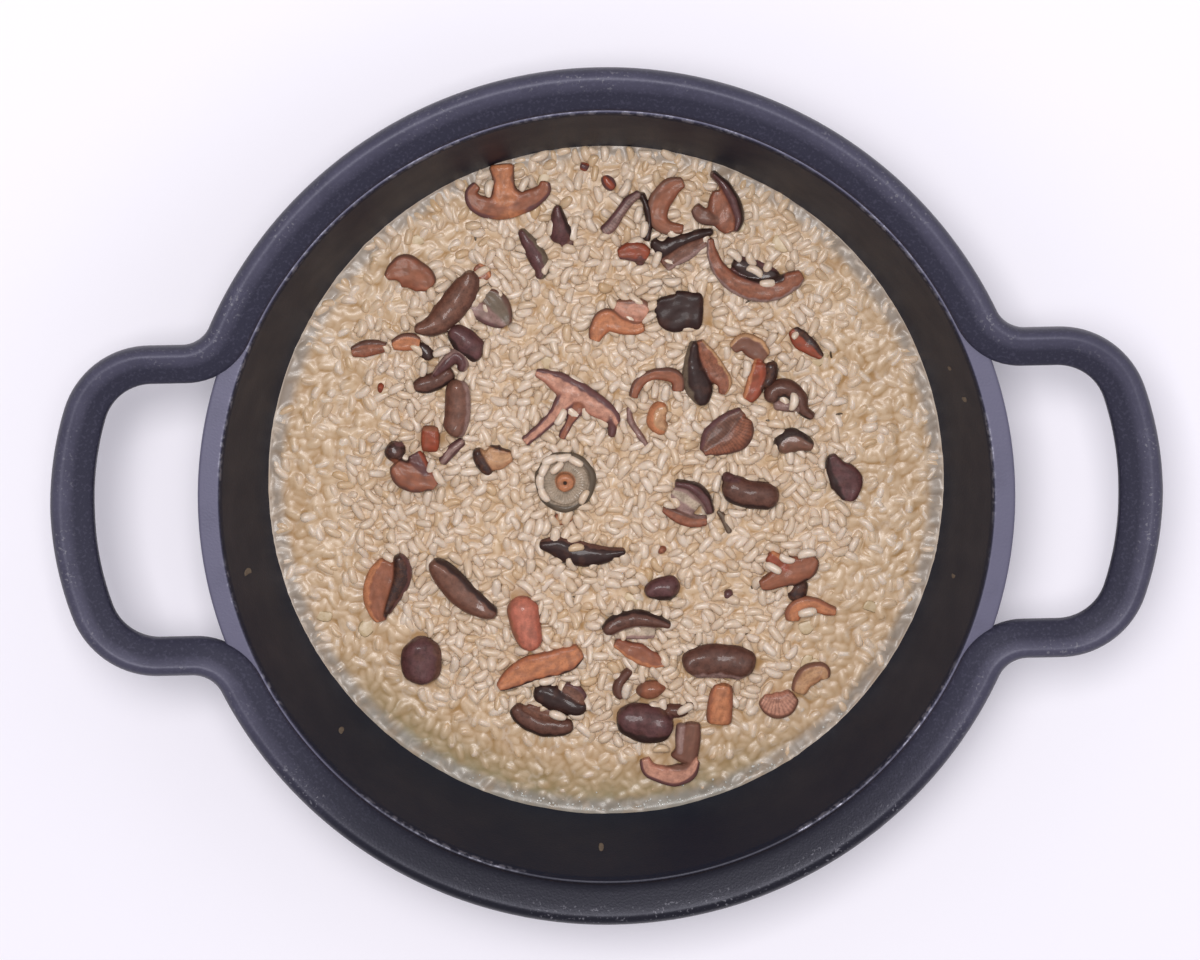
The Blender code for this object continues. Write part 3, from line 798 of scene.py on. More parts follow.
@dataclass(frozen=True)
class Stroke:
    """One thick stroke of a piece: a smooth line through a few points, in mm over the pan.

    Each point is x, y and the width there, and the height is in mm too. The rim is another colour
    along one side, which is 1 for the left of the line, -1 for its right and 0 for both, over a
    share of the half width. The stain says how dark its fried patches are, from 0 to 1.
    """

    look: Look
    tone: Tone
    height: float
    points: tuple
    rim: Tone | None = None
    side: int = 0
    share: float = 0.2
    stain: float = 0.32

    def line(self, spacing: float = 0.4) -> np.ndarray:
        """Draws the stroke's middle as a Catmull-Rom curve through its points.

        Args:
            spacing: About how far apart the rows are, in mm.

        Returns:
            Rows of x, y and width.
        """
        knots = np.array(self.points, float)
        knots = np.vstack([2 * knots[0] - knots[1], knots, 2 * knots[-1] - knots[-2]])
        pieces = []
        for p0, p1, p2, p3 in zip(knots, knots[1:], knots[2:], knots[3:]):
            count = max(3, int(np.hypot(*(p2 - p1)[:2]) / spacing))
            t = np.linspace(0, 1, count, endpoint=False)[:, None]
            pieces.append(between(p0, p1, p2, p3, t))
        return np.vstack([*pieces, knots[-2:-1]])

    def rounded(self, rows: np.ndarray) -> np.ndarray:
        """Gives each row's share of full size, which falls to 0 at both ends as a quarter circle would.

        Args:
            rows: The stroke's rows of x, y and width.

        Returns:
            A share from 0 to 1 for each row.
        """
        run = run_along(rows)
        soft = self.look.value.soft
        far = ((run, rows[0, 2]), (run[-1] - run, rows[-1, 2]))
        ends = [np.clip(way / max(soft * width, 0.5), 0, 1) for way, width in far]
        return np.sqrt(1 - (1 - ends[0]) ** 2) * np.sqrt(1 - (1 - ends[1]) ** 2)

    def solid(self, sides: int = 26) -> tuple:
        """Carries the section along the line, closed to a point at both ends.

        The section is w/2 cos^a across and h/2 + h/2 sin^b up, with w the width and h the height there.

        Args:
            sides: How many points the section has.

        Returns:
            The corners and the faces, in mm.
        """
        rows = self.line()
        size = self.rounded(rows)
        power = self.look.value
        turn = np.linspace(0, 2 * np.pi, sides, endpoint=False)
        c, s = np.cos(turn), np.sin(turn)
        oval = np.stack([np.sign(c) * np.abs(c) ** power.across, np.sign(s) * np.abs(s) ** power.upward], -1)
        ahead = np.gradient(rows[:, :2], axis=0)
        left = np.stack([-ahead[:, 1], ahead[:, 0]], -1)
        left = left / (np.linalg.norm(ahead, axis=1, keepdims=True) + 1e-9)
        wide = ((rows[:, 2] + 1.1) * size)[:, None, None] / 2
        flat = rows[:, None, :2] + left[:, None] * (oval[None, :, :1] * wide)
        tall = self.height * (0.4 + 0.6 * size)
        up = (tall / 2)[:, None, None] * (1 + oval[None, :, 1:])
        body = np.concatenate([flat, up], -1)[1:-1].reshape(-1, 3)
        ends = [[*rows[k, :2], tall[k] / 2] for k in (0, -1)]
        return np.vstack([ends[:1], body, ends[1:]]), globe_faces(len(rows) - 2, sides)

    def locate(self, points: np.ndarray) -> tuple:
        """Finds where points lie along and across the stroke.

        Args:
            points: The points, in mm.

        Returns:
            How far along each lies, in mm, and how far across, as a share of the half width, left positive.
        """
        rows = self.line()
        run = run_along(rows)
        nearest = np.linalg.norm(points[:, None, :2] - rows[None, :, :2], axis=-1).argmin(1)
        ahead = np.gradient(rows[:, :2], axis=0)[nearest]
        away = points[:, :2] - rows[nearest, :2]
        sign = np.sign(ahead[:, 0] * away[:, 1] - ahead[:, 1] * away[:, 0])
        return run[nearest], sign * np.hypot(*away.T) / (rows[nearest, 2] / 2 + 0.2)

    def paint(self, run: np.ndarray, across: np.ndarray, rng: np.random.Generator) -> np.ndarray:
        """Colours each point: the tone with streaks along the stroke, its rim, and its gills.

        Args:
            run: How far along the stroke each point lies, in mm.
            across: How far across, as a share of the half width.
            rng: The source of random numbers.

        Returns:
            A colour for each point, in linear light.
        """
        broad, fine = np.stack([run / 7, across * 1.6], -1), np.stack([run / 3, across * 4], -1)
        streaks = waves(broad, 1.0, rng) + 0.5 * waves(fine, 1.0, rng)
        edge = smooth_step(0.3, 1.05, np.abs(across))[:, None]
        color = self.tone.color() * (1 + 0.13 * streaks)[:, None] * (1 - edge * EDGE_DARKENING)
        stain = smooth_step(0.1, 1.1, waves(np.stack([run / 6, across * 0.8], -1), 1.0, rng)) * self.stain
        color = color + (FRIED_COLOR - color) * stain[:, None]
        if self.look is Look.GILLED:
            stripe = smooth_step(-0.2, 0.7, np.sin(run * 2 * np.pi / GILL_PITCH + across))
            color = color * (1 - 0.38 * stripe * smooth_step(1.05, 0.8, np.abs(across)))[:, None]
        if self.rim is not None:
            place = across * self.side if self.side else np.abs(across)
            ragged = place + 0.09 * waves(np.stack([run / 5, 0 * run], -1), 1.0, rng)
            share = smooth_step(1 - self.share - 0.12, 1 - self.share + 0.08, ragged)
            color = color + (self.rim.color() * (1 + 0.1 * streaks)[:, None] - color) * share[:, None]
        return color


@dataclass(frozen=True)
class Mushroom:
    """A piece of fried mushroom: strokes that run into each other. A bit has no solid of its own."""

    name: str
    strokes: tuple
    bit: bool = False

    def node(self) -> str:
        """Gives the name of the solid that it stands for."""
        return "mushroom_" + self.name


@dataclass
class MushroomPieces:
    """Fuses the strokes of each piece into one skin, gives it wrinkles, and paints it."""

    pieces: tuple
    voxel: float = 0.42
    base: float = 34.2 * MM

    def fused(self, name: str, parts: list) -> tuple:
        """Joins closed grids into one skin with a voxel remesh, in mm.

        Args:
            name: The piece's name.
            parts: For each stroke, its corners and its faces.

        Returns:
            The skin's corners, their normals and its faces.
        """
        shift, points, faces = 0, [], []
        for corners, groups in parts:
            sign = 1 if volume(corners, groups) > 0 else -1
            faces += [face for group in groups for face in (group[:, ::sign] + shift).tolist()]
            points.append(corners)
            shift += len(corners)
        rough = bpy.data.meshes.new(name)
        rough.from_pydata(np.vstack(points).tolist(), [], faces)
        helper = add_object(name, rough)
        remesh = helper.modifiers.new("Fuse", "REMESH")
        remesh.mode, remesh.voxel_size = "VOXEL", self.voxel
        relax = helper.modifiers.new("Relax", "SMOOTH")
        relax.factor, relax.iterations = 0.5, 7
        mesh = helper.evaluated_get(bpy.context.evaluated_depsgraph_get()).to_mesh()
        corners = np.empty(len(mesh.vertices) * 3, np.float32)
        normals = np.empty_like(corners)
        mesh.vertices.foreach_get("co", corners)
        mesh.vertex_normals.foreach_get("vector", normals)
        index = np.empty(len(mesh.loops), np.int32)
        mesh.loops.foreach_get("vertex_index", index)
        bpy.data.objects.remove(helper)
        return corners.reshape(-1, 3).astype(float), normals.reshape(-1, 3), [index.reshape(-1, 4)]

    def build_one(self, piece: Mushroom, number: int, materials: dict) -> None:
        """Builds one piece. Strokes share each point's colour by how near the middle of each it lies.

        Args:
            piece: The piece.
            number: Its number, which seeds its streaks.
            materials: The finishes by slot.
        """
        rng = np.random.default_rng(100 + number)
        points, normals, faces = self.fused(piece.name, [stroke.solid() for stroke in piece.strokes])
        places = [stroke.locate(points) for stroke in piece.strokes]
        nearness = np.stack([np.exp(-6 * np.abs(across)) for _, across in places])
        nearness = nearness ** 2 / (nearness ** 2).sum(0)
        color, push, gloss = np.zeros_like(points), np.zeros(len(points)), np.zeros(len(points))
        top = smooth_step(0.2, 0.8, normals[:, 2])
        for stroke, (run, across), share in zip(piece.strokes, places, nearness):
            color += stroke.paint(run, across, rng) * share[:, None]
            streaks = waves(np.stack([run / 9, across * stroke.points[1][2] / 5], -1), 1.0, rng)
            sink = stroke.look.value.sink * (1 - across ** 2).clip(0) * top
            push += share * (0.045 * streaks - sink)
            gloss += share * stroke.look.value.gloss
        push += WRINKLE * waves(points, 9.0, rng) + 0.03 * waves(points, 3.0, rng)
        points = points + normals * push[:, None]
        # Painted shade: each piece darkened by up to a fifth over its lowest 3 mm, where it sits in the rice
        color = color * (0.8 + 0.2 * smooth_step(0.5, 3.0, points[:, 2]))[:, None]
        base = self.base if piece.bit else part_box(piece.node())[0].z
        slot = "mushroom_brown" if piece.bit else slot_of(piece.node())
        points = points * MM + (0, 0, base)
        attributes = {"tone": np.clip(color, 0, 1), "gloss": gloss}
        made = new_piece("cut_" + piece.name, points, faces, materials[slot], attributes)
        hand_over(made, slot, () if piece.bit else (piece.node(),))

    def build(self, materials: dict) -> None:
        """Builds every piece."""
        for number, piece in enumerate(self.pieces):
            self.build_one(piece, number, materials)


def slot_of(node: str) -> str:
    """Gives the material slot that the record names for a node."""
    parts = frame["record"]["subparts"]
    return next(part["material_slot"] for part in parts if part["node"] == node)


@dataclass
class RingCap:
    """The whole small cap that lies upside down: an olive rim, a pale disc of gills and a stem with a dot of
    painted shade in the hollow at its top.

    Its sizes are in mm.
    """

    x: float = -16.4
    y: float = 1.4
    radius: float = 12.3
    disc_inner: float = 4.4
    disc_outer: float = 9.3
    disc_level: float = 4.5
    sides: int = 120
    gills: int = 40

    def section(self) -> np.ndarray:
        """Draws the half section from the middle of its back, out over the rim and up the stem.

        Returns:
            Rows of radius and height, in mm.
        """
        rim = arc((0.86 * self.radius, 5.0), 0.14 * self.radius, -0.9, 2.6, 0.35)
        back = np.array([(2, 0), (5, 0.05), (7.6, 0.6), (9.6, 1.6), (11.2, 3.0)])
        reach = np.linspace(self.disc_outer, self.disc_inner, 12)
        level = self.disc_level - 0.5 * np.sin(np.linspace(0, np.pi, len(reach)))
        disc = np.stack([reach, level], -1)
        stem = np.array([(3.7, 5.0), (3.5, 6.4), (3.6, 8.2), (3.5, 9.2), (3.0, 9.8), (2.1, 10.0),
                         (1.0, 9.9), (0.6, 9.5), (0.45, 8.8)])
        return np.vstack([(0, 0), back, rim, disc, stem, (0, 8.7)])

    def build(self, materials: dict) -> None:
        """Turns the section about its stem, with gill ridges on the disc, and paints it by radius.

        Args:
            materials: The finishes by slot.
        """
        section = self.section()
        rings = section[1:-1]
        turns = np.linspace(0, 2 * np.pi, self.sides, endpoint=False)
        radius = rings[:, :1] * (1 + 0.02 * np.sin(3 * turns + 0.7) + 0.012 * np.sin(7 * turns))
        on_disc = (rings[:, 0] > self.disc_inner - 0.2) & (rings[:, 0] < self.disc_outer + 0.1)
        on_disc = (on_disc & (rings[:, 1] > 3.8))[:, None]
        height = rings[:, 1:] + on_disc * 0.22 * np.sin(self.gills * turns)
        height = height + 0.25 * np.sin(2 * turns + 1) * (rings[:, :1] / 12)
        body = np.stack([radius * np.cos(turns), radius * np.sin(turns), height], -1).reshape(-1, 3)
        local = np.vstack([(0, 0, 0), body, (0, 0, section[-1, 1])])
        rng = np.random.default_rng(77)
        reach, cloud = np.hypot(local[:, 0], local[:, 1]), waves(local, 4.0, rng)
        top = local[:, 2] > 3.6
        color = Tone.OLIVE.color() * (0.66 + 0.16 * cloud)[:, None]
        pale = smooth_step(10.2, 9.2, reach + 0.4 * cloud) * top
        stripe = 0.74 + 0.08 * np.sin(self.gills * np.arctan2(local[:, 1], local[:, 0])) + 0.08 * cloud
        color += (Tone.PALE.color() * stripe[:, None] - color) * pale[:, None]
        stem = smooth_step(4.3, 3.7, reach) * top
        color += (Tone.ORANGE.color() * (0.95 + 0.1 * cloud[:, None]) - color) * stem[:, None]
        # Painted shade: a black dot in the small hollow at the top of the stem
        dot = smooth_step(0.95, 0.55, reach) * top
        color += (Tone.BLACK.color() - color) * dot[:, None]
        node = "mushroom_ring_cap"
        points = (local + (self.x, self.y, 0)) * MM + (0, 0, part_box(node)[0].z)
        slot = slot_of(node)
        attributes = {"tone": np.clip(color, 0, 1), "gloss": np.full(len(points), 0.6)}
        faces = globe_faces(len(rings), self.sides)
        piece = new_piece("cut_ring_cap", points, faces, materials[slot], attributes)
        hand_over(piece, slot, (node,))


ROUND, FLAT, GILLED = Look
BLACK, PURPLE, DARK, BROWN, MAUVE, OLIVE, RED, RUST, ORANGE, SALMON, PINK, TAN, PALE = Tone

# Each piece's strokes as the photo shows them: look, tone, height, points, rim, side, share
MUSHROOMS = (
    Mushroom("slice_north", (
        Stroke(FLAT, RUST, 6.5, ((-48.5, 121, 2.5), (-51.3, 117.5, 4), (-48.5, 113.2, 6.5),
            (-42, 111.3, 8), (-34, 112.5, 8), (-27, 115, 7), (-22.5, 118, 5), (-21.5, 122, 2.5)),
            PURPLE, -1, 0.3),
        Stroke(FLAT, ORANGE, 6.5, ((-37, 113, 17), (-38, 118.5, 9), (-38.3, 123.5, 8),
            (-38.8, 129.2, 10)), BROWN, 0, 0.12),
    )),
    Mushroom("wedge_north", (
        Stroke(ROUND, PURPLE, 7, ((-17, 112.5, 1.5), (-16.8, 107, 5), (-15.7, 101, 8.5),
            (-14.5, 97, 8.5)), BLACK, 1, 0.4),
        Stroke(FLAT, BROWN, 5, ((-16, 95.5, 2.5), (-10.5, 98.8, 3.5))),
    )),
    Mushroom("sliver_north", (
        Stroke(ROUND, PURPLE, 6, ((-32, 103, 2), (-28.5, 97, 5.5), (-25.5, 91.5, 7), (-24, 87, 5.5),
            (-25, 82.5, 2)), OLIVE, 1, 0.5),
    )),
    Mushroom("chunk_northwest", (
        Stroke(FLAT, RUST, 6.8, ((-86, 84.6, 1.5), (-82.5, 87, 7), (-78.8, 87.4, 12.5), (-74.5, 85.6, 11),
            (-70.5, 83, 9.5), (-68.2, 80.3, 4)), DARK, 1, 0.1),
    )),
    Mushroom("crescent_northwest", (
        Stroke(ROUND, BROWN, 9, ((-75.5, 64.3, 2), (-70, 64.5, 6.5), (-65, 67, 9.5), (-60, 72.5, 11),
            (-55.5, 78, 10.5), (-53, 83, 8), (-53, 87, 2)), DARK, -1, 0.3),
    )),
    Mushroom("slab_northwest", (
        Stroke(FLAT, OLIVE, 6, ((-48, 77.5, 4), (-43.5, 74.5, 9), (-40.5, 69.5, 8.5), (-38, 64.5, 3)),
            DARK, 1, 0.25),
        Stroke(FLAT, MAUVE, 5, ((-54.5, 73, 3), (-49, 71, 7), (-43, 67.8, 7), (-38.5, 65, 3)),
            PURPLE, -1, 0.3),
    )),
    Mushroom("sausage_northwest", (
        Stroke(ROUND, PURPLE, 8, ((-61.5, 64, 4), (-57, 60.5, 9), (-53, 56.5, 9.5), (-49.5, 54, 8),
            (-48, 53.5, 4)), BLACK, -1, 0.35),
    )),
    Mushroom("strip_west", (
        Stroke(FLAT, RUST, 6, ((-100.8, 55.3, 3), (-96, 56.3, 5.5), (-91, 57, 5), (-86, 57, 2.5)),
            DARK, 1, 0.45),
    )),
    Mushroom("chip_west", (
        Stroke(FLAT, ORANGE, 6, ((-84.5, 57.5, 2.5), (-81, 58.5, 5.5), (-77, 59, 6), (-72.8, 58, 4)),
            DARK, 1, 0.3),
    )),
    Mushroom("curl_west", (
        Stroke(ROUND, DARK, 6, ((-76.5, 40.5, 3), (-71.5, 41.5, 6.5), (-66, 43.5, 6.5), (-60, 46.5, 4)),
            BLACK, -1, 0.3),
        Stroke(ROUND, PURPLE, 7.5, ((-68, 45, 1.5), (-64, 49, 3.5), (-59, 53, 5), (-56, 50, 4),
            (-57.5, 46.5, 2)), MAUVE, 1, 0.4),
    )),
    Mushroom("strip_centre_west", (
        Stroke(ROUND, BROWN, 8, ((-59.8, 43.5, 6.5), (-58.7, 38, 9), (-58.7, 31, 9.5), (-60, 24, 9),
            (-61.5, 20.5, 5)), MAUVE, 1, 0.3),
    )),
    Mushroom("block_west", (
        Stroke(FLAT, RED, 8, ((-74, 20, 8.5), (-70, 19.8, 9.5), (-66, 19.5, 9)), RUST, 1, 0.3),
    )),
    Mushroom("cap_west", (
        Stroke(ROUND, BLACK, 7, ((-86.5, 18.5, 4), (-84, 15, 8), (-80, 14, 7)), PURPLE, 1, 0.3),
        Stroke(FLAT, RUST, 9, ((-84.5, 10.5, 5), (-81, 6.5, 10.5), (-76, 4.5, 11.5), (-71, 2.8, 8),
            (-68, 0.5, 3)), DARK, -1, 0.16),
        Stroke(FLAT, PURPLE, 8, ((-77, 14.5, 5), (-75, 10.5, 6), (-72.5, 6, 5)), RED, 1, 0.3),
    )),
    Mushroom("wedge_west", (
        Stroke(ROUND, BLACK, 7, ((-51.8, 15.5, 3), (-49.5, 10, 5), (-46, 4.5, 2.5))),
        Stroke(FLAT, TAN, 6.5, ((-48, 14.5, 5), (-44, 11.5, 9.5), (-40, 11.8, 5.5), (-37.5, 12.5, 3)),
            BLACK, 1, 0.15),
    )),
    Mushroom("bar_centre", (
        Stroke(ROUND, BLACK, 6.5, ((-27.5, -24, 2), (-21, -24.8, 7), (-14, -27.5, 9.5), (-6, -29, 8),
            (1, -28.7, 5), (7.5, -27.5, 1.5)), DARK, 1, 0.25),
    )),
    Mushroom("cap_southwest", (
        Stroke(FLAT, RUST, 7.5, ((-88.5, -29, 5), (-91, -36, 11), (-92.5, -43, 12), (-92.5, -50, 8),
            (-91.5, -54, 3)), ORANGE, -1, 0.35),
        Stroke(ROUND, BLACK, 8.5, ((-84.8, -26.5, 3), (-83, -31.5, 6.5), (-83.5, -37.5, 7),
            (-87, -44.5, 5.5), (-90, -51, 3)), PURPLE, 1, 0.3),
    )),
    Mushroom("crescent_southwest", (
        Stroke(ROUND, BROWN, 8.5, ((-71, -29.5, 4), (-66.5, -34.5, 9), (-61.5, -40.3, 10.5),
            (-56, -46, 10), (-50, -50, 7), (-45, -52.5, 3)), BLACK, 1, 0.42),
    )),
    Mushroom("oval_southwest", (
        Stroke(ROUND, PURPLE, 10, ((-76.3, -60.5, 8), (-76, -65, 14), (-76, -70.5, 15.8),
            (-76.3, -76, 14), (-76.5, -80.5, 7)), DARK, 1, 0.3),
    )),
    Mushroom("stem_south", (
        Stroke(ROUND, SALMON, 8.5, ((-34.8, -45, 11), (-34.6, -50, 12.3), (-33.6, -57, 11.5),
            (-32, -63, 9.5), (-31, -67.5, 7)), RUST, -1, 0.2),
    )),
    Mushroom("slice_south", (
        Stroke(FLAT, ORANGE, 7, ((-45.5, -82.3, 2), (-40, -78.8, 7), (-33, -75, 9.5), (-25, -73.3, 9.5),
            (-17, -71, 9), (-11.5, -67.5, 5)), BLACK, -1, 0.12),
    )),
    Mushroom("wedge_south", (
        Stroke(ROUND, BLACK, 7, ((-30.5, -82.5, 5), (-26, -85.5, 9), (-20, -88.5, 9), (-14, -91, 7),
            (-9.5, -90, 2))),
        Stroke(FLAT, BROWN, 6.5, ((-19.5, -82, 3), (-14.5, -85, 6), (-11, -88.5, 4)), PURPLE, 1, 0.4),
    )),
    Mushroom("boat_south", (
        Stroke(ROUND, DARK, 7.5, ((-39.5, -89.5, 4), (-35, -94.5, 7.5), (-28, -98, 8), (-20, -98.8, 7),
            (-15, -98, 3)), BLACK, -1, 0.3),
        Stroke(FLAT, BROWN, 5.5, ((-34.5, -91, 3), (-29, -93, 5.5), (-22, -95, 5))),
    )),
    Mushroom("arc_north", (
        Stroke(FLAT, RUST, 6.5, ((33.5, 120.5, 3), (28, 118, 7), (23.7, 112.5, 8), (22.7, 106.5, 7),
            (26, 102.5, 5), (33, 101.5, 2.5)), BROWN, -1, 0.35),
    )),
    Mushroom("frill_north", (
        Stroke(GILLED, MAUVE, 6, ((0.5, 101, 3.5), (4, 103.5, 4), (8, 109, 3), (12, 113.5, 3),
            (16, 116.5, 2)), PURPLE, 1, 0.5),
        Stroke(ROUND, BLACK, 6.5, ((16, 116.5, 2), (18.3, 111, 2), (19.3, 104, 2), (18, 97, 2))),
    )),
    Mushroom("chip_north", (
        Stroke(FLAT, RED, 6.5, ((6.5, 92, 2.5), (11, 93, 6.5), (15.5, 92.7, 7), (19, 91, 4)),
            PURPLE, -1, 0.3),
        Stroke(ROUND, PURPLE, 5, ((15.5, 91, 4), (15.3, 87, 2))),
    )),
    Mushroom("slice_northeast", (
        Stroke(ROUND, BLACK, 7, ((20, 97.5, 2), (25, 94, 7.5), (31, 96.5, 5.5), (38, 99, 3.5),
            (45, 100.8, 2))),
        Stroke(FLAT, BROWN, 6, ((24.5, 87, 4), (29, 90.5, 7), (35, 93.8, 6.5), (42, 97, 3)),
            MAUVE, -1, 0.4),
    )),
    Mushroom("cap_northeast", (
        Stroke(FLAT, RUST, 7.5, ((47, 117, 3), (47.5, 111, 9), (49.5, 105, 9), (52, 100, 4))),
        Stroke(FLAT, BROWN, 6.5, ((37.2, 110.5, 3), (40.5, 107, 5.5), (46, 105.5, 5)), DARK, -1, 0.3),
        Stroke(ROUND, PURPLE, 8.5, ((44.5, 124, 1.5), (49.5, 118.5, 3.5), (53, 112, 4.5),
            (54.7, 105.5, 3.5), (53, 100, 2)), BLACK, 1, 0.5),
    )),
    Mushroom("boat_northeast", (
        Stroke(FLAT, RUST, 8, ((43.5, 98, 1.5), (44.2, 91.5, 3.5), (47.7, 84.5, 5), (53.5, 79.3, 6.5),
            (61, 76.5, 7.5), (69, 77, 8), (76, 80.3, 6.5), (80, 82.8, 3)), MAUVE, -1, 0.2),
        Stroke(ROUND, BLACK, 5, ((52, 88, 4), (57.5, 85.5, 8), (64, 82.5, 9), (71, 81, 5)),
            PURPLE, 0, 0.2),
    )),
    Mushroom("pentagon_east", (
        Stroke(FLAT, BLACK, 6.5, ((21.5, 72.5, 3), (24.7, 70.5, 10.5), (28, 69, 15.5), (34, 69, 14.5),
            (40.5, 68.6, 13.5))),
    )),
    Mushroom("fan_centre_north", (
        Stroke(FLAT, ORANGE, 7, ((-3.7, 57.5, 3.5), (-1.7, 62.5, 6.5), (1.5, 66, 8), (7, 63.8, 6),
            (13, 62.5, 4.5), (16.5, 63.5, 3)), BROWN, 1, 0.12),
        Stroke(FLAT, PINK, 6, ((5, 72.5, 3), (10, 70.3, 7), (15, 69.5, 8.5), (18, 68, 5)),
            BROWN, 1, 0.35),
    )),
    Mushroom("wedge_east", (
        Stroke(ROUND, BLACK, 8, ((36.5, 57, 2), (35.8, 50, 6), (36.5, 43, 9.5), (38.3, 36.5, 9.5),
            (39, 30.5, 3)), OLIVE, -1, 0.4),
        Stroke(FLAT, RUST, 7, ((38.3, 57, 2), (41.5, 50.5, 6), (45, 44.5, 7), (48, 39.5, 5), (47, 35, 2)),
            TAN, 1, 0.2),
    )),
    Mushroom("arc_east", (
        Stroke(FLAT, BROWN, 6.5, ((51.5, 53, 3), (56, 56, 6), (61, 53, 8), (65, 49, 5)), TAN, 1, 0.3),
        Stroke(ROUND, BLACK, 7.5, ((66.5, 48.5, 4), (66.8, 43, 4.5), (64, 37.5, 3.5))),
        Stroke(FLAT, RED, 7, ((62, 48, 4), (61.5, 42, 7), (59.5, 36.5, 6), (57, 32.5, 3)),
            ORANGE, -1, 0.4),
    )),
    Mushroom("chip_east", (
        Stroke(FLAT, RED, 6, ((75.5, 60.8, 3), (78.5, 57, 6.5), (82.5, 53.5, 5.5), (87.5, 49, 1.5)),
            BLACK, 1, 0.7),
    )),
    Mushroom("arch_centre", (
        Stroke(FLAT, RUST, 6.5, ((11.5, 34.5, 2.5), (14, 40.5, 3.5), (19, 43.5, 3.2), (25, 43.7, 4.5),
            (29.5, 41.5, 4.5), (29.5, 36.5, 4)), DARK, 1, 0.3),
    )),
    Mushroom("stub_centre", (
        Stroke(ROUND, TAN, 7.5, ((25.6, 30.3, 3), (22.2, 29.3, 6.5), (20.8, 26, 7), (22, 23, 6.5),
            (25.2, 21.8, 3.5)), ORANGE, -1, 0.6),
    )),
    Mushroom("gilled_cap_east", (
        Stroke(GILLED, BROWN, 7, ((39.2, 11.8, 3), (43.6, 18, 9), (49, 23.3, 8), (55.5, 28.6, 3)),
            PURPLE, 1, 0.35),
        Stroke(GILLED, RUST, 7.3, ((39, 11.8, 2), (47, 14.3, 6.5), (53.5, 18.5, 10), (56.8, 26, 5)),
            DARK, -1, 0.16),
    )),
    Mushroom("knob_east", (
        Stroke(ROUND, DARK, 8, ((66.8, 31, 4), (68, 36, 6.5), (73, 37, 6.5), (78, 33.5, 5.5),
            (79.5, 28.5, 4), (84, 25, 2.5)), BLACK, -1, 0.3),
        Stroke(ROUND, MAUVE, 6, ((67.5, 30.5, 3.5), (72, 30, 3.5), (77, 29, 3))),
    )),
    Mushroom("chunk_east", (
        Stroke(ROUND, BROWN, 8, ((70.2, 11, 5), (72.5, 15, 9), (77, 15.8, 8.5), (83.5, 13.3, 2.5)),
            BLACK, 1, 0.55),
    )),
    Mushroom("sausage_east", (
        Stroke(ROUND, DARK, 9.5, ((46.5, -1.5, 7), (51, -3, 10.5), (57, -5.2, 10.8), (64, -6.2, 10.5),
            (69.5, -6.8, 9)), BLACK, -1, 0.3),
        Stroke(ROUND, PURPLE, 7, ((46.5, 1.5, 4), (52.5, 1, 3.5))),
    )),
    Mushroom("diamond_east", (
        Stroke(FLAT, PURPLE, 8, ((90.5, 10, 2), (92.5, 4.5, 8), (96.3, -1, 12.5), (97, -6, 8),
            (96.5, -9, 3)), BLACK, -1, 0.5),
    )),
    Mushroom("curl_centre", (
        Stroke(FLAT, PALE, 6, ((26.5, -3.5, 4), (31, -6, 9), (37, -10.5, 8)), MAUVE, 0, 0.6),
        Stroke(ROUND, PURPLE, 8.5, ((27.5, 0, 1.8), (34, -1.5, 3.6), (39, -6, 4.6), (42, -13, 2.5)),
            BLACK, 1, 0.4),
        Stroke(FLAT, RUST, 6.5, ((22.5, -10.3, 1.5), (28, -13.5, 4), (34, -15.7, 4.5), (40.5, -15.7, 3)),
            DARK, 1, 0.4),
    )),
    Mushroom("stub_centre_south", (
        Stroke(ROUND, PURPLE, 8, ((14.5, -45, 3), (19, -43.5, 7.5), (24.5, -42.7, 9), (29, -43, 8)),
            BLACK, -1, 0.35),
    )),
    Mushroom("cap_east", (
        Stroke(FLAT, RUST, 8, ((61, -42.5, 3), (66, -41, 6), (72, -37.5, 10), (79, -35.5, 9.5),
            (83.5, -31, 4)), DARK, -1, 0.12),
        Stroke(FLAT, RED, 7.5, ((64.5, -30, 4), (68, -33, 6), (72, -36, 7)), ORANGE, 1, 0.4),
        Stroke(ROUND, BLACK, 6, ((79.5, -41, 3), (76.5, -45.5, 6.5), (73.8, -49.5, 5))),
    )),
    Mushroom("arc_southeast", (
        Stroke(FLAT, ORANGE, 7, ((74, -57.5, 4), (74.5, -54, 6), (78, -51.3, 6.5), (83, -51, 5),
            (88, -53, 3.5), (92, -54, 2)), RUST, 1, 0.3),
    )),
    Mushroom("crescent_centre_south", (
        Stroke(ROUND, DARK, 8, ((-2.5, -60.5, 3.5), (2, -57.5, 6.5), (8, -55.5, 6.8), (14, -55.3, 6),
            (20, -56.5, 4), (25, -58.3, 1.5)), BLACK, 1, 0.3),
        Stroke(FLAT, PALE, 5, ((2, -62.5, 2.5), (8, -60.5, 5), (14, -60.3, 6), (19, -60.8, 4)),
            MAUVE, 0, 0.4),
    )),
    Mushroom("bits_south", (
        Stroke(FLAT, RUST, 6.5, ((2, -64.5, 2.5), (7, -67.3, 5), (12, -69.5, 7), (17, -72, 6),
            (23, -73.6, 1.8)), ORANGE, -1, 0.4),
    )),
    Mushroom("slab_south", (
        Stroke(ROUND, DARK, 9.5, ((29.8, -76, 5), (33.5, -74, 11), (40, -73, 12.8), (47, -73.3, 13),
            (54, -74.7, 12.5), (58.5, -77, 8)), MAUVE, -1, 0.25),
    )),
    Mushroom("block_south", (
        Stroke(ROUND, RUST, 8, ((16.3, -80.5, 8), (16.5, -84.5, 11.8), (17, -88.5, 10)), BROWN, -1, 0.3),
    )),
    Mushroom("cap_south", (
        Stroke(ROUND, PURPLE, 10, ((2.5, -94, 7), (7.5, -96, 13), (14, -98, 15), (20.5, -98.8, 13),
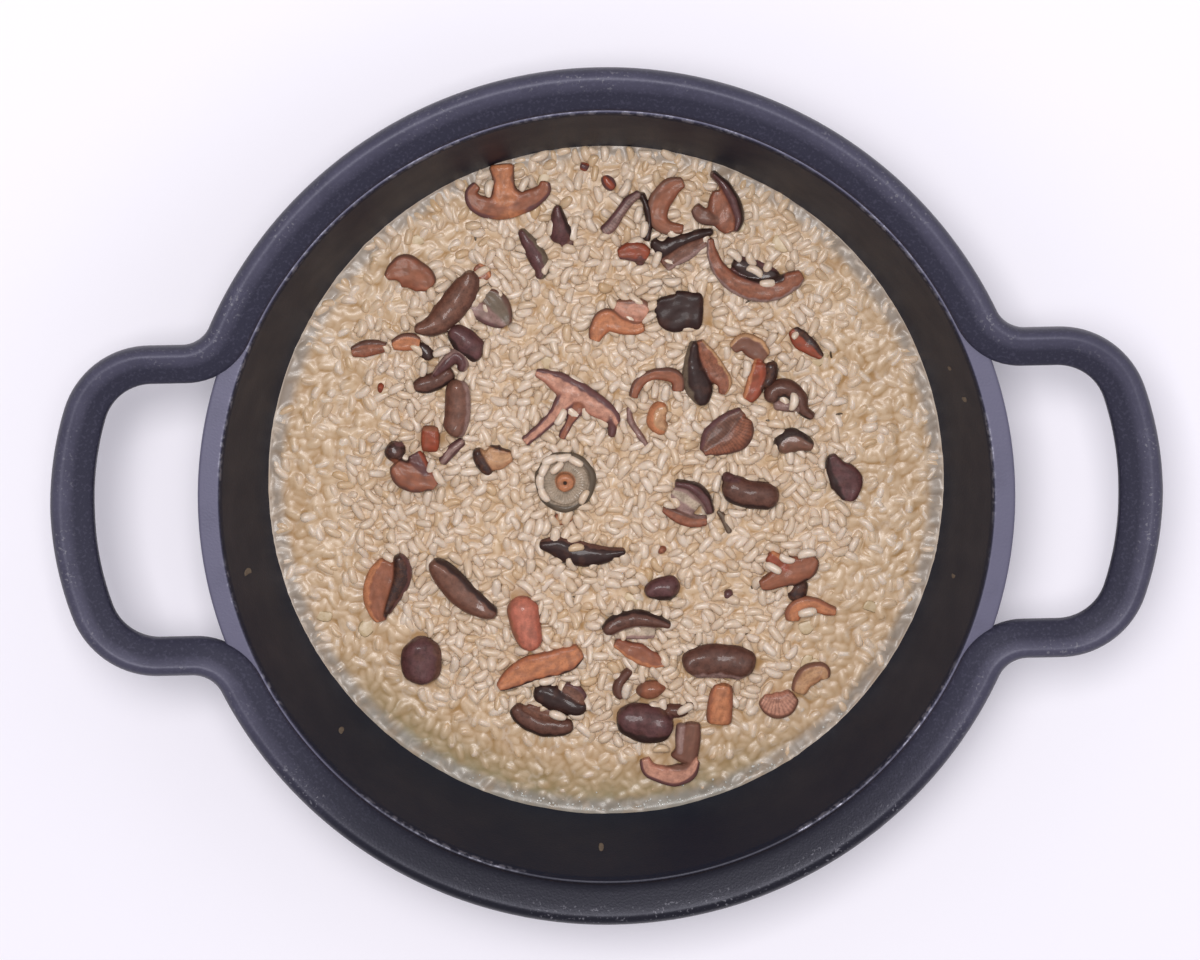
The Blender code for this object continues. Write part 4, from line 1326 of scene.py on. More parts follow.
            (25.5, -98.5, 8)), BLACK, -1, 0.35),
        Stroke(ROUND, DARK, 6.5, ((22, -92.5, 4), (28, -93.5, 4.5), (34, -90, 2))),
    )),
    Mushroom("hook_slice", (
        Stroke(FLAT, PINK, 6.5, ((13, -112.5, 3), (15, -117, 5), (20, -119.5, 6), (26, -120, 8),
            (31, -118.5, 6), (34.5, -113.5, 2.5)), PURPLE, -1, 0.35),
        Stroke(FLAT, BROWN, 6.8, ((33, -98, 5.5), (32.6, -103, 6.5), (31, -109, 8), (28.5, -115, 11)),
            DARK, 1, 0.12),
        Stroke(ROUND, MAUVE, 6.5, ((28.6, -98.5, 2.5), (28, -104, 3), (28, -110, 3.5))),
    )),
    Mushroom("post_south", (
        Stroke(FLAT, ORANGE, 7.5, ((45.7, -82.5, 6), (44.8, -88, 9), (44, -95, 9.3), (43.7, -99.5, 8)),
            RUST, 0, 0.15),
    )),
    Mushroom("gilled_southeast", (
        Stroke(GILLED, PINK, 7, ((60.8, -89, 3.5), (65, -91.5, 8.5), (69.7, -91.5, 9.5),
            (74.5, -87.5, 5)), BROWN, -1, 0.2),
    )),
    Mushroom("curl_southeast", (
        Stroke(FLAT, TAN, 7, ((76, -87, 5), (78, -82, 7), (82, -79, 7.5), (86, -78, 5), (87, -81.5, 2.5)),
            BROWN, 1, 0.25),
    )),
    Mushroom("anchor_slice", (
        Stroke(FLAT, PINK, 6.5, ((-27.5, 45.6, 2), (-22.5, 44, 4.5), (-17, 40.5, 8), (-10, 36, 9),
            (-3, 31.5, 8), (2.5, 27.5, 6), (5.2, 24, 2)), PURPLE, 1, 0.5),
        Stroke(FLAT, PINK, 6.3, ((-14, 36, 9), (-19, 29.5, 5), (-25, 23.5, 3.6), (-32.5, 17.5, 3.2)),
            PURPLE, 0, 0.34),
        Stroke(FLAT, RUST, 6, ((-10, 32, 7), (-13.5, 26.5, 3), (-17.5, 18.5, 1.8)), PURPLE, 0, 0.2),
        Stroke(ROUND, PURPLE, 6, ((2.5, 27, 4), (3, 22, 3.2), (2.2, 18.5, 1.5))),
    )),
    Mushroom("chip_far_northwest", (
        Stroke(FLAT, RUST, 5, ((-50, 89, 2.5), (-47.5, 86, 5), (-45.3, 83, 3)), ORANGE, 1, 0.4),
    ), bit=True),
    Mushroom("wing_west", (
        Stroke(ROUND, MAUVE, 5.5, ((-66, 9.5, 2.5), (-62, 14.5, 3.8), (-56.5, 19, 2.5)), PURPLE, 0, 0.4),
    ), bit=True),
    Mushroom("fold_west", (
        Stroke(ROUND, BLACK, 5, ((-73.8, 58, 2.5), (-71, 54.5, 5), (-69.3, 51, 2.5))),
    ), bit=True),
    Mushroom("bit_under_ring", (
        Stroke(FLAT, TAN, 4.5, ((-20.5, -15.5, 2.5), (-17, -13, 5.5), (-13.5, -12.8, 3)), RUST, 0, 0.2),
    ), bit=True),
    Mushroom("edge_centre", (
        Stroke(ROUND, MAUVE, 4, ((10, 31, 1.4), (10, 26, 1.6), (13, 20.5, 1.8), (17, 14.5, 1.2))),
    ), bit=True),
    Mushroom("edge_east", (
        Stroke(ROUND, OLIVE, 4, ((44.5, -11.5, 1.3), (47.5, -16, 2), (49.5, -21.5, 1.3))),
    ), bit=True),
    Mushroom("crescent_small_south", (
        Stroke(ROUND, DARK, 6, ((8.5, -76, 2), (4.7, -80, 4), (3.2, -84.5, 4), (5, -88, 2))),
    ), bit=True),
    Mushroom("bit_centre_south", (
        Stroke(ROUND, PURPLE, 4.5, ((46.3, -46, 2.5), (50.5, -46.3, 4))),
    ), bit=True),
    Mushroom("bit_centre", (
        Stroke(ROUND, RUST, 4, ((20.8, -26.5, 2.5), (23, -29, 3.5))),
    ), bit=True),
    Mushroom("bit_far_north", (
        Stroke(ROUND, RED, 4.5, ((1.5, 123.5, 2), (3.5, 120.5, 4), (6, 118, 2)), PURPLE, 0, 0.4),
    ), bit=True),
    Mushroom("bit_far_north_small", (
        Stroke(ROUND, PURPLE, 4, ((-8, 128, 2), (-4, 126.3, 3.5)), RED, 0, 0.4),
    ), bit=True),
    Mushroom("bit_west", (
        Stroke(ROUND, RED, 4, ((-91, 40.5, 3), (-88, 40.3, 4))),
    ), bit=True),
)


# The rice and its sauce

# Grains that lie on mushrooms: x and y in mm, turn in degrees, height of the middle in mm, tint
RESTING_GRAINS = (
    (-64.5, 55, 20, 41, 1), (-72, 48, 80, 40.5, 1), (-70, 9, 70, 41.5, 1), (-67, 4.5, 120, 41, 0.9),
    (-12.5, -25.3, 5, 40.5, 0.3), (-25.5, -79.5, 10, 40.5, 1), (-21.5, -93.5, -20, 41.5, 0.9),
    (53, 91, -40, 40, 0.95), (61, 84.5, -30, 40, 0.9), (66, 79.5, 0, 40.3, 0.9), (72, -31.5, -20, 42, 1),
    (66.5, -35, -30, 42, 1), (80, -29.5, 10, 42, 1), (57, 45.5, 80, 41.5, 1), (75.5, 32, 80, 41.5, 1),
    (80, -53.5, 10, 41, 1), (24.5, 36.5, 80, 40.5, 1), (22, 90, 70, 41.5, 1), (21, 80.5, 10, 40.5, 1),
    (28, 81, 0, 40.5, 0.9), (-30, 121, 60, 40, 0.9), (-24.5, 7, 60, 40.5, 1), (-22, 10.5, 20, 40.5, 1),
    (-26.3, 1.5, 90, 40.3, 1), (-25, -3.5, 120, 40.3, 0.95), (-17, 11.3, 5, 40.3, 1),
    (-19.5, 7.3, 40, 41.2, 0.9), (-12, 9.6, -30, 40.3, 0.85), (-9, -4.8, 60, 40.2, 0.6),
    (-44, 119.5, 80, 40.5, 0.9), (30, -92, 30, 41.2, 1), (20, -108.5, 0, 40, 0.3), (6.5, -84, 75, 40.3, 1),
    (15, 108, 75, 40.4, 0.95), (17.2, 102, 80, 40.4, 0.95), (10, 118.5, 60, 40.2, 0.9),
    (-17.5, 27.5, 60, 39.5, 0.95),
)


@dataclass
class Grains:
    """Many grains as arrays: places in metres, turns in radians, sizes in metres."""

    x: np.ndarray
    y: np.ndarray
    z: np.ndarray
    turn: np.ndarray
    tilt: np.ndarray
    length: np.ndarray
    width: np.ndarray
    tint: np.ndarray
    thick: float = 0.86

    def columns(self) -> list:
        """Gives the arrays, one for each field but the last."""
        return list(vars(self).values())[:-1]

    def take(self, chosen: np.ndarray) -> "Grains":
        """Gives the chosen grains alone."""
        return Grains(*[value[chosen] for value in self.columns()], self.thick)

    def mesh(self, rings: int, sides: int, rng: np.random.Generator) -> tuple:
        """Works out all the grains at once.

        A grain is a sphere's grid: x is -cos, the girth sin to the 0.6 so that its ends are blunt, fuller
        at one end or at its waist, bent a little, then tilted, turned and moved to its place.

        Args:
            rings: How many rings of points a grain has between its tips.
            sides: How many points a ring has.
            rng: The source of random numbers.

        Returns:
            The corners, the faces and each corner's tint.
        """
        run = np.linspace(0, np.pi, rings + 2)[1:-1]
        around = np.linspace(0, 2 * np.pi, sides, endpoint=False)
        a, t = (v.reshape(-1) for v in np.meshgrid(run, around, indexing="ij"))
        girth = np.sin(a) ** 0.6
        middle = np.stack([-np.cos(a), girth * np.cos(t), girth * np.sin(t)], -1)
        unit = np.vstack([(-1, 0, 0), middle, (1, 0, 0)])
        count = len(self.x)
        plump = 1 + rng.uniform(-0.2, 0.2, (count, 1)) * unit[:, 0]
        plump = plump + rng.uniform(-0.16, 0.16, (count, 1)) * (unit[:, 0] ** 2 - 0.4)
        bend = rng.uniform(-0.13, 0.13, (count, 1))
        lx = unit[:, 0] * self.length[:, None] / 2
        ly = unit[:, 1] * plump * self.width[:, None] / 2
        ly = ly + bend * self.length[:, None] * (unit[:, 0] ** 2 - 0.4)
        lz = unit[:, 2] * plump * self.width[:, None] * self.thick / 2
        ct, st = np.cos(self.tilt)[:, None], np.sin(self.tilt)[:, None]
        lx, lz = lx * ct - lz * st, lx * st + lz * ct
        cz, sz = np.cos(self.turn)[:, None], np.sin(self.turn)[:, None]
        points = np.stack([self.x[:, None] + lx * cz - ly * sz, self.y[:, None] + lx * sz + ly * cz,
                           self.z[:, None] + lz], -1)
        faces = [(group[None] + np.arange(count)[:, None, None] * len(unit)).reshape(-1, group.shape[1])
                 for group in globe_faces(rings, sides)]
        tips = 0.12 * unit[:, 0] ** 4
        return points.reshape(-1, 3), faces, np.clip(self.tint[:, None] - tips, 0, 1).reshape(-1)


@dataclass
class Raster:
    """Square maps over the pan, with the pan's middle at theirs."""

    half: float = 137 * MM
    pitch: float = 0.4 * MM

    def __post_init__(self) -> None:
        """Works out the cells' places."""
        self.count = int(2 * self.half / self.pitch) + 1
        self.axis = np.linspace(-self.half, self.half, self.count)
        self.pitch = self.axis[1] - self.axis[0]
        self.x, self.y = np.meshgrid(self.axis, self.axis, indexing="ij")

    def blur(self, values: np.ndarray, size: float) -> np.ndarray:
        """Blurs a map with a Gaussian, as a product in frequency space.

        Args:
            values: The map.
            size: The Gaussian's spread, in metres.

        Returns:
            The blurred map.
        """
        wave = np.fft.fftfreq(self.count, self.pitch)
        fall = np.exp(-2 * (np.pi * size * wave) ** 2)
        return np.fft.ifft2(np.fft.fft2(values) * fall[:, None] * fall[None, :]).real

    def read(self, values: np.ndarray, x: np.ndarray, y: np.ndarray) -> np.ndarray:
        """Reads a map at places between its cells, in proportion to the nearest four.

        Args:
            values: The map.
            x: Places along X, in metres.
            y: Places along Y.

        Returns:
            The map's value at each place.
        """
        u = np.clip((x + self.half) / self.pitch, 0, self.count - 1.001)
        v = np.clip((y + self.half) / self.pitch, 0, self.count - 1.001)
        i, j = u.astype(int), v.astype(int)
        fu, fv = u - i, v - j
        return (values[i, j] * (1 - fu) * (1 - fv) + values[i + 1, j] * fu * (1 - fv)
                + values[i, j + 1] * (1 - fu) * fv + values[i + 1, j + 1] * fu * fv)

    def waves(self, size: float, rng: np.random.Generator) -> np.ndarray:
        """Maps smooth noise whose waves are about size metres long."""
        flat = np.stack([self.x.reshape(-1), self.y.reshape(-1)], -1)
        return waves(flat, size, rng).reshape(self.x.shape)

    def gap_to(self, discs: np.ndarray) -> np.ndarray:
        """Maps the way to the nearest disc's rim, worked out up to 2 mm from each.

        Args:
            discs: Rows of x, y and radius, in metres.

        Returns:
            The map, negative within a disc and 1 far from all.
        """
        gap = np.full(self.x.shape, 1.0)
        for x, y, radius in discs:
            i, j = int((x + self.half) / self.pitch), int((y + self.half) / self.pitch)
            k = int((radius + 2 * MM) / self.pitch) + 1
            box = (slice(max(i - k, 0), i + k + 1), slice(max(j - k, 0), j + k + 1))
            gap[box] = np.minimum(gap[box], np.hypot(self.x[box] - x, self.y[box] - y) - radius)
        return gap

    def tops(self, grains: Grains) -> np.ndarray:
        """Maps the height of the highest grain over each cell.

        A grain's top is its middle's height plus 0.43 of its width times √(1 - a^2.6 - b²), with a and b
        the shares of its half length and half width.

        Args:
            grains: The grains.

        Returns:
            The map, 0 where no grain lies.
        """
        reach = int(5.2 * MM / self.pitch)
        step = np.arange(-reach, reach + 1)
        du, dv = (v.reshape(-1) for v in np.meshgrid(step, step, indexing="ij"))
        i = np.round((grains.x + self.half) / self.pitch).astype(int)[:, None] + du
        j = np.round((grains.y + self.half) / self.pitch).astype(int)[:, None] + dv
        i, j = np.clip(i, 0, self.count - 1), np.clip(j, 0, self.count - 1)
        dx, dy = self.axis[i] - grains.x[:, None], self.axis[j] - grains.y[:, None]
        c, s = np.cos(grains.turn)[:, None], np.sin(grains.turn)[:, None]
        along, across = dx * c + dy * s, dy * c - dx * s
        length, width = grains.length[:, None], grains.width[:, None]
        inside = 1 - np.abs(2 * along / length) ** 2.6 - (2 * across / width) ** 2
        slope = np.tan(grains.tilt)[:, None]
        top = grains.z[:, None] + along * slope + 0.43 * width * np.sqrt(inside.clip(0))
        top = np.where(inside > 0, top, 0)
        heights = np.zeros((self.count, self.count))
        np.maximum.at(heights, (i, j), top)
        return heights


@dataclass
class RiceBed:
    """The risotto: packed layers of grains, loose ones on top, and the sauce that stands between them."""

    seed: int = 11
    grain_length: float = 7.3 * MM
    grain_width: float = 3.55 * MM
    top_count: int = 2950
    low_count: int = 1300
    loose_count: int = 760
    squeeze: float = 0.8
    push_share: float = 0.42
    longest_push: float = 1.2 * MM
    largest_turn: float = 0.25
    sauce_grid: int = 412
    floor_hub: float = 50 * MM
    raster: Raster = field(default_factory=Raster)

    def wetness(self, x: np.ndarray, y: np.ndarray) -> np.ndarray:
        """Says how far the sauce stands over the grains: fully, but for the middle and the north.

        Args:
            x: Places along X, in metres.
            y: Places along Y.

        Returns:
            A share from 0 to 1 for each place.
        """
        rng = np.random.default_rng(self.seed + 1)
        flat = np.stack([np.ravel(x), np.ravel(y)], -1)
        ragged = waves(flat, 70 * MM, rng) * 9 * MM + waves(flat, 25 * MM, rng) * 4 * MM
        ragged = ragged.reshape(np.shape(x))
        reach = np.hypot(x, y) - 0.36 * np.maximum(y - 0.3 * np.abs(x), 0) + ragged
        return smooth_step(76 * MM, 118 * MM, reach)

    def thinness(self, x: np.ndarray, y: np.ndarray) -> np.ndarray:
        """Says where the sauce is thin and green: by the wall, south and a little west.

        Args:
            x: Places along X, in metres.
            y: Places along Y.

        Returns:
            A share from 0 to 0.95 for each place.
        """
        reach = np.hypot(x, y) + 1e-6
        south = smooth_step(0.6, 0.95, -0.2 * x / reach - y / reach)
        return south * smooth_step(110 * MM, 133 * MM, reach) * 0.95

    def keep_out(self) -> np.ndarray:
        """Fills the mushrooms' footprints with discs, a little inside their outlines.

        Returns:
            Rows of x, y and radius, in metres.
        """
        lines = [stroke.line()[2:-2:4] for piece in MUSHROOMS for stroke in piece.strokes]
        rows = np.vstack([*lines, [(RingCap().x, RingCap().y, 2 * RingCap().radius)]])
        return np.column_stack([rows[:, :2], (rows[:, 2] / 2 - 0.5).clip(0.2)]) * MM

    def packed(self, count: int, radius: float, discs: np.ndarray, rng: np.random.Generator,
               rounds: int = 46) -> Grains:
        """Packs grains in the plane: each is three circles in a row, and circles that overlap push apart.

        Every round moves a grain by the sum of its circles' pushes and turns it by their moments.

        Args:
            count: How many grains.
            radius: The radius of the disc that holds them.
            discs: What keeps them out, as rows of x, y and radius.
            rng: The source of random numbers.
            rounds: How many times the circles push.

        Returns:
            The grains, level and at height 0.
        """
        reach = radius * np.sqrt(rng.uniform(0, 1, count))
        around = rng.uniform(0, 2 * np.pi, count)
        place = np.stack([reach * np.cos(around), reach * np.sin(around)], -1)
        turn = rng.uniform(0, np.pi, count)
        length = self.grain_length * rng.normal(1, 0.11, count).clip(0.72, 1.25)
        width = self.grain_width * rng.normal(1, 0.11, count).clip(0.75, 1.25)
        offsets = np.array([-1.0, 0.0, 1.0])[None, :] * ((length - width) / 2)[:, None]
        for number in range(rounds):
            if number % 6 == 0:
                near = np.linalg.norm(place[:, None] - place[None], axis=-1) < 1.15 * self.grain_length
                pairs = np.nonzero(np.triu(near, 1))
            levers = np.stack([np.cos(turn), np.sin(turn)], -1)[:, None] * offsets[..., None]
            circles = place[:, None] + levers
            move, twist = self.crowding(circles, levers, width, pairs)
            move += self.fencing(circles, width, radius, discs)
            place += np.clip(move, -self.longest_push, self.longest_push)
            turn += np.clip(twist / (0.16 * length ** 2), -self.largest_turn, self.largest_turn)
        zero = np.zeros(count)
        return Grains(place[:, 0], place[:, 1], zero, turn, zero, length, width, zero)

    def crowding(self, circles: np.ndarray, levers: np.ndarray, width: np.ndarray, pairs: tuple) -> tuple:
        """Works out how grains push each other: each pair of circles by a share of their overlap.

        Circles a little closer than their widths allow don't overlap yet, because grains squeeze.

        Args:
            circles: The centres of each grain's three circles.
            levers: The circles' offsets from the grain's middle.
            width: The grains' widths.
            pairs: The numbers of the first and the second grain of each near pair.

        Returns:
            Each grain's move, and its twist as the moment of its pushes.
        """
        first, second = pairs
        gap = circles[first][:, :, None] - circles[second][:, None]
        apart = np.linalg.norm(gap, axis=-1)
        overlap = (0.5 * (width[first] + width[second])[:, None, None] * self.squeeze - apart).clip(0)
        push = gap / (apart[..., None] + 1e-9) * overlap[..., None] * self.push_share
        move, twist = np.zeros((len(circles), 2)), np.zeros(len(circles))
        for which, sign, axis in ((first, 1, 2), (second, -1, 1)):
            force, lever = sign * push.sum(axis), levers[which]
            np.add.at(move, which, force.sum(1))
            moment = lever[..., 0] * force[..., 1] - lever[..., 1] * force[..., 0]
            np.add.at(twist, which, moment.sum(1))
        return move, twist

    def fencing(self, circles: np.ndarray, width: np.ndarray, radius: float,
                discs: np.ndarray) -> np.ndarray:
        """Works out how the mushrooms' discs push grains out, and the wall pushes them in.

        Args:
            circles: The centres of each grain's three circles.
            width: The grains' widths.
            radius: The radius of the disc that holds them.
            discs: What keeps them out, as rows of x, y and radius.

        Returns:
            Each grain's move.
        """
        out = circles[:, :, None] - discs[None, None, :, :2]
        far = np.linalg.norm(out, axis=-1)
        inside = (discs[:, 2] + 0.4 * width[:, None, None] - far).clip(0)
        away = (out / (far[..., None] + 1e-9) * inside[..., None]).sum(2) * 0.5
        rim = np.linalg.norm(circles, axis=-1)
        beyond = (rim + 0.42 * width[:, None] - radius).clip(0)
        back = circles / (rim[..., None] + 1e-9) * beyond[..., None]
        return away.sum(1) - back.sum(1)

    def layers(self) -> tuple:
        """Packs the layers and sets each grain's height and tilt.

        Returns:
            The top layer, the layer under it and the loose grains.
        """
        rng = np.random.default_rng(self.seed)
        discs = self.keep_out()
        edge = wall_radius(RICE_LEVEL) - 0.4 * MM
        top = self.packed(self.top_count, edge, discs, rng)
        low = self.packed(self.low_count, edge - 1 * MM, discs, rng, 18)
        wet = self.wetness(top.x, top.y)
        top.z = RICE_LEVEL - 0.75 * MM + rng.uniform(-1.15, 1.1, len(top.x)) * MM * (1 - 0.4 * wet)
        top.z = top.z - 1.3 * MM * self.thinness(top.x, top.y)
        top.tilt = rng.normal(0, 0.31 - 0.16 * wet, len(top.x))
        top.tint = rng.beta(2.2, 1.3, len(top.x))
        low.z = RICE_LEVEL - 2.1 * MM + rng.uniform(-0.4, 0.4, len(low.x)) * MM
        low.tilt = rng.normal(0, 0.2, len(low.x))
        low.tint = 0.5 * rng.beta(2, 2.5, len(low.x))
        nearer = discs - (0, 0, 1.8 * MM)
        loose = self.packed(self.loose_count, 108 * MM, nearer.clip((-1, -1, 0.1 * MM)), rng, 8)
        loose = loose.take(self.wetness(loose.x, loose.y) < 0.6)
        gap = np.hypot(loose.x[:, None] - discs[:, 0], loose.y[:, None] - discs[:, 1]) - discs[:, 2]
        leaning = smooth_step(2.4 * MM, 0.4 * MM, gap.min(1))
        loose.z = RICE_LEVEL + (rng.uniform(0.5, 1.5, len(loose.x)) + 1.3 * leaning) * MM
        loose.tilt = rng.normal(0, 0.3, len(loose.x))
        loose.tint = rng.uniform(0.55, 1.0, len(loose.x))
        return top, low, loose

    def film(self, grains: Grains, discs: np.ndarray) -> dict:
        """Maps the sauce: its level, drawn up beside grains and mushrooms and over the grains in the wet.

        The height is level + climb, where climb is a blur of what stands out of the sauce. Where it is wet
        the sauce also passes over the grains, as s·ln(e^(a/s) + e^(b/s)) of the two heights a and b.

        Args:
            grains: All the grains under and in the sauce.
            discs: The mushrooms' footprints, as rows of x, y and radius.

        Returns:
            Maps by name: height in metres, and near, line, thin and wet as shares from 0 to 1.
        """
        r = self.raster
        rng = np.random.default_rng(self.seed + 2)
        wet, thin, tops = self.wetness(r.x, r.y), self.thinness(r.x, r.y), r.tops(grains)
        swell = (0.22 * r.waves(26 * MM, rng) + 0.12 * r.waves(9 * MM, rng)) * MM
        level = RICE_LEVEL + (-0.9 + 0.75 * wet) * MM + swell
        standing = (tops > level + 0.15 * MM) | (r.gap_to(discs) < 0.3 * MM)
        height = level + 0.75 * MM * r.blur(standing.astype(float), 0.75 * MM)
        soft, rise = 0.28 * MM, (tops + 0.10 * MM - RICE_LEVEL).clip(-6 * MM, 6 * MM)
        both = soft * np.log(np.exp((height - RICE_LEVEL) / soft) + np.exp(rise / soft)) + RICE_LEVEL
        both = both + (r.blur(both, 0.8 * MM) + 0.05 * MM - both) * 0.8 * wet
        patches = r.waves(22 * MM, rng)
        covered = smooth_step(0.35, 1.05, wet * (0.8 + 0.3 * patches) + 0.12 * patches)
        height = height + (both - height) * covered
        near = np.exp(-((height - tops - 0.1 * MM).clip(0) / (0.55 * MM)))
        slope = np.hypot(*np.gradient(r.blur(tops.clip(RICE_LEVEL - 3 * MM), 0.35 * MM), r.pitch))
        broken = smooth_step(-0.4, 0.5, r.waves(12 * MM, rng))
        # line: painted highlights where the sauce climbs the grains' sides, broken up, weaker where it is
        # thin
        line = 0.45 * smooth_step(0.6, 1.5, slope) * (0.25 + 0.75 * wet) * broken * (1 - 0.6 * thin)
        return {"height": height, "near": near, "line": line, "thin": thin, "wet": wet}

    def sauce_top(self, maps: dict, side: int) -> tuple:
        """Lays the top of half of the sauce over a grid drawn out to a disc.

        A grid point (u, v) goes to (u √(1 - v²/2), v √(1 - u²/2)), which keeps the cells nearly even.
        One row past X = 0 is worked out and dropped, so that both halves have the same normals there.

        Args:
            maps: The sauce's maps.
            side: 1 for the half in the east, -1 for the west.

        Returns:
            The points and their normals, one row each, and the attributes that the finish reads.
        """
        half, count, edge = self.sauce_grid // 2, self.sauce_grid, wall_radius(RICE_LEVEL)
        across = side * np.linspace(-1 / (half - 1), 1, half + 1)
        u, v = np.meshgrid(across, np.linspace(-1, 1, count), indexing="ij")
        x, y = edge * u * np.sqrt(1 - v ** 2 / 2), edge * v * np.sqrt(1 - u ** 2 / 2)
        reach, read = np.hypot(x, y), self.raster.read
        meniscus = np.exp(-(edge - reach) / (0.9 * MM)) * smooth_step(0.1, 0.8, read(maps["wet"], x, y))
        z = read(maps["height"], x, y) + 0.9 * MM * meniscus
        grow = 1 + (wall_radius(z) - edge) / edge * smooth_step(edge - 4 * MM, edge, reach)
        points = np.stack([x * grow, y * grow, z], -1)
        normals = side * np.cross(np.gradient(points, axis=0), np.gradient(points, axis=1))[1:]
        values = {key: read(maps[key], x[1:], y[1:]).reshape(-1) for key in ("near", "line", "thin")}
        # wall: the 3 to 8 mm by the wall, where the sauce greys, partly as painted shade
        values["wall"] = smooth_step(8 * MM, 3 * MM, (edge - reach)[1:]).reshape(-1)
        # rim: a pale line on the wall's meniscus, partly starch film and partly painted highlight
        rim = 0.6 * smooth_step(0.55, 0.95, meniscus[1:]).reshape(-1)
        values["line"] = np.maximum(values["line"], rim * (1 - values["thin"]))
        return points[1:].reshape(-1, 3), normals.reshape(-1, 3), values

    def skirt(self, points: np.ndarray, ring: np.ndarray, side: int) -> tuple:
        """Closes half of the sauce down the wall, over the floor and along X = 0.

        Args:
            points: The points of its top.
            ring: The numbers of the points round its edge, in order.
            side: 1 for the half in the east, -1 for the west.

        Returns:
            The further points, the faces with four corners and those with three.
        """
        _, center = floor_fillet()
        rows = arc(center, FLOOR_FILLET - 0.1 * MM, -WALL_LEAN, -math.pi / 2, 9 * MM)
        flat = points[ring, :2]
        far = np.linalg.norm(flat, axis=1, keepdims=True).clip(1e-6)
        lower = [np.column_stack([flat * np.minimum(1, radius / far), np.full(len(ring), height)])
                 for radius, height in rows]
        hub = (side * self.floor_hub, 0, rows[-1, 1])
        lower.append([hub])
        starts = [ring] + [len(points) + k * len(ring) + np.arange(len(ring)) for k in range(len(rows))]
        walls = [np.stack([a, b, np.roll(b, -1), np.roll(a, -1)], -1) for a, b in zip(starts, starts[1:])]
        last, middle = starts[-1], len(points) + len(rows) * len(ring)
        floor = np.stack([np.roll(last, -1), last, np.full(len(last), middle)], -1)
        return np.vstack(lower), np.vstack(walls), floor

    def sauce_half(self, maps: dict, side: int, material: bpy.types.Material) -> bpy.types.Object:
        """Makes half of the sauce, with its top's normals set so that no seam shows at X = 0.

        Args:
            maps: The sauce's maps.
            side: 1 for the half in the east, -1 for the west.
            material: The sauce's finish.

        Returns:
            The half, with the attributes that the finish reads.
        """
        count, half = self.sauce_grid, self.sauce_grid // 2
        points, normals, values = self.sauce_top(maps, side)
        i, j = np.meshgrid(np.arange(half - 1), np.arange(count - 1), indexing="ij")
        here = i * count + j
        quads = np.stack([here, here + count, here + count + 1, here + 1], -1).reshape(-1, 4)
        rows, columns = np.arange(half - 1), np.arange(count - 1)
        ring = np.concatenate([rows * count, (half - 1) * count + columns,
                               (half - 1 - rows) * count + count - 1, count - 1 - columns])
        lower, walls, floor = self.skirt(points, ring, side)
        values = {key: np.concatenate([value, np.zeros(len(lower))]) for key, value in values.items()}
        name = "sauce_east" if side > 0 else "sauce_west"
        faces = [np.vstack([quads, walls]), floor]
        piece = new_piece(name, np.vstack([points, lower]), faces, material, values, len(quads))
        normals = normals / np.linalg.norm(normals, axis=1, keepdims=True)
        normals = np.vstack([normals, np.zeros((len(lower), 3))])
        piece.data.normals_split_custom_set_from_vertices(normals.tolist())
        return piece

    def lay(self, name: str, grains: Grains, material: bpy.types.Material, fineness: tuple,
            rng: np.random.Generator) -> None:
        """Meshes some grains and hands them over.

        Args:
            name: The piece's name.
            grains: The grains.
            material: Their finish.
            fineness: How many rings and sides a grain has.
            rng: The source of random numbers.
        """
        points, faces, tint = grains.mesh(*fineness, rng)
        hand_over(new_piece(name, points, faces, material, {"tint": tint}), "creamy_rice", ("rice",))

    def resting(self, material: bpy.types.Material, rng: np.random.Generator) -> None:
        """Lays single grains on mushrooms and on the upturned cap's gills.

        Args:
            material: The grains' finish.
            rng: The source of random numbers.
        """
        x, y, turn, height, tint = np.array(RESTING_GRAINS, float).T
        size = rng.uniform(0.88, 1.08, len(x))
        grains = Grains(x * MM, y * MM, height * MM, np.radians(turn), rng.normal(0, 0.12, len(x)),
                        self.grain_length * size, self.grain_width * size, tint)
        self.lay("grains_resting", grains, material, (6, 9), rng)

    def build(self) -> dict:
        """Builds the grains and the sauce, and hands them over.

        Returns:
            The sauce's maps, for what lies on it.
        """
        top, low, loose = self.layers()
        columns = zip(top.columns(), low.columns(), loose.columns())
        maps = self.film(Grains(*[np.concatenate(column) for column in columns]), self.keep_out())
        finish = SauceFinish().make()
        for side in (-1, 1):
            hand_over(self.sauce_half(maps, side, finish), "creamy_rice", ("rice",))
        grain = GrainFinish().make()
        rng = np.random.default_rng(self.seed + 3)
        half = np.arange(len(top.x)) % 2 == 0
        self.lay("grains_top_long", top.take(half), grain, (6, 9), rng)
        self.lay("grains_top_short", top.take(~half), grain, (6, 9), rng)
        self.lay("grains_loose", loose, grain, (6, 9), rng)
        self.lay("grains_under", low, grain, (4, 6), rng)
        self.resting(grain, rng)
        return maps


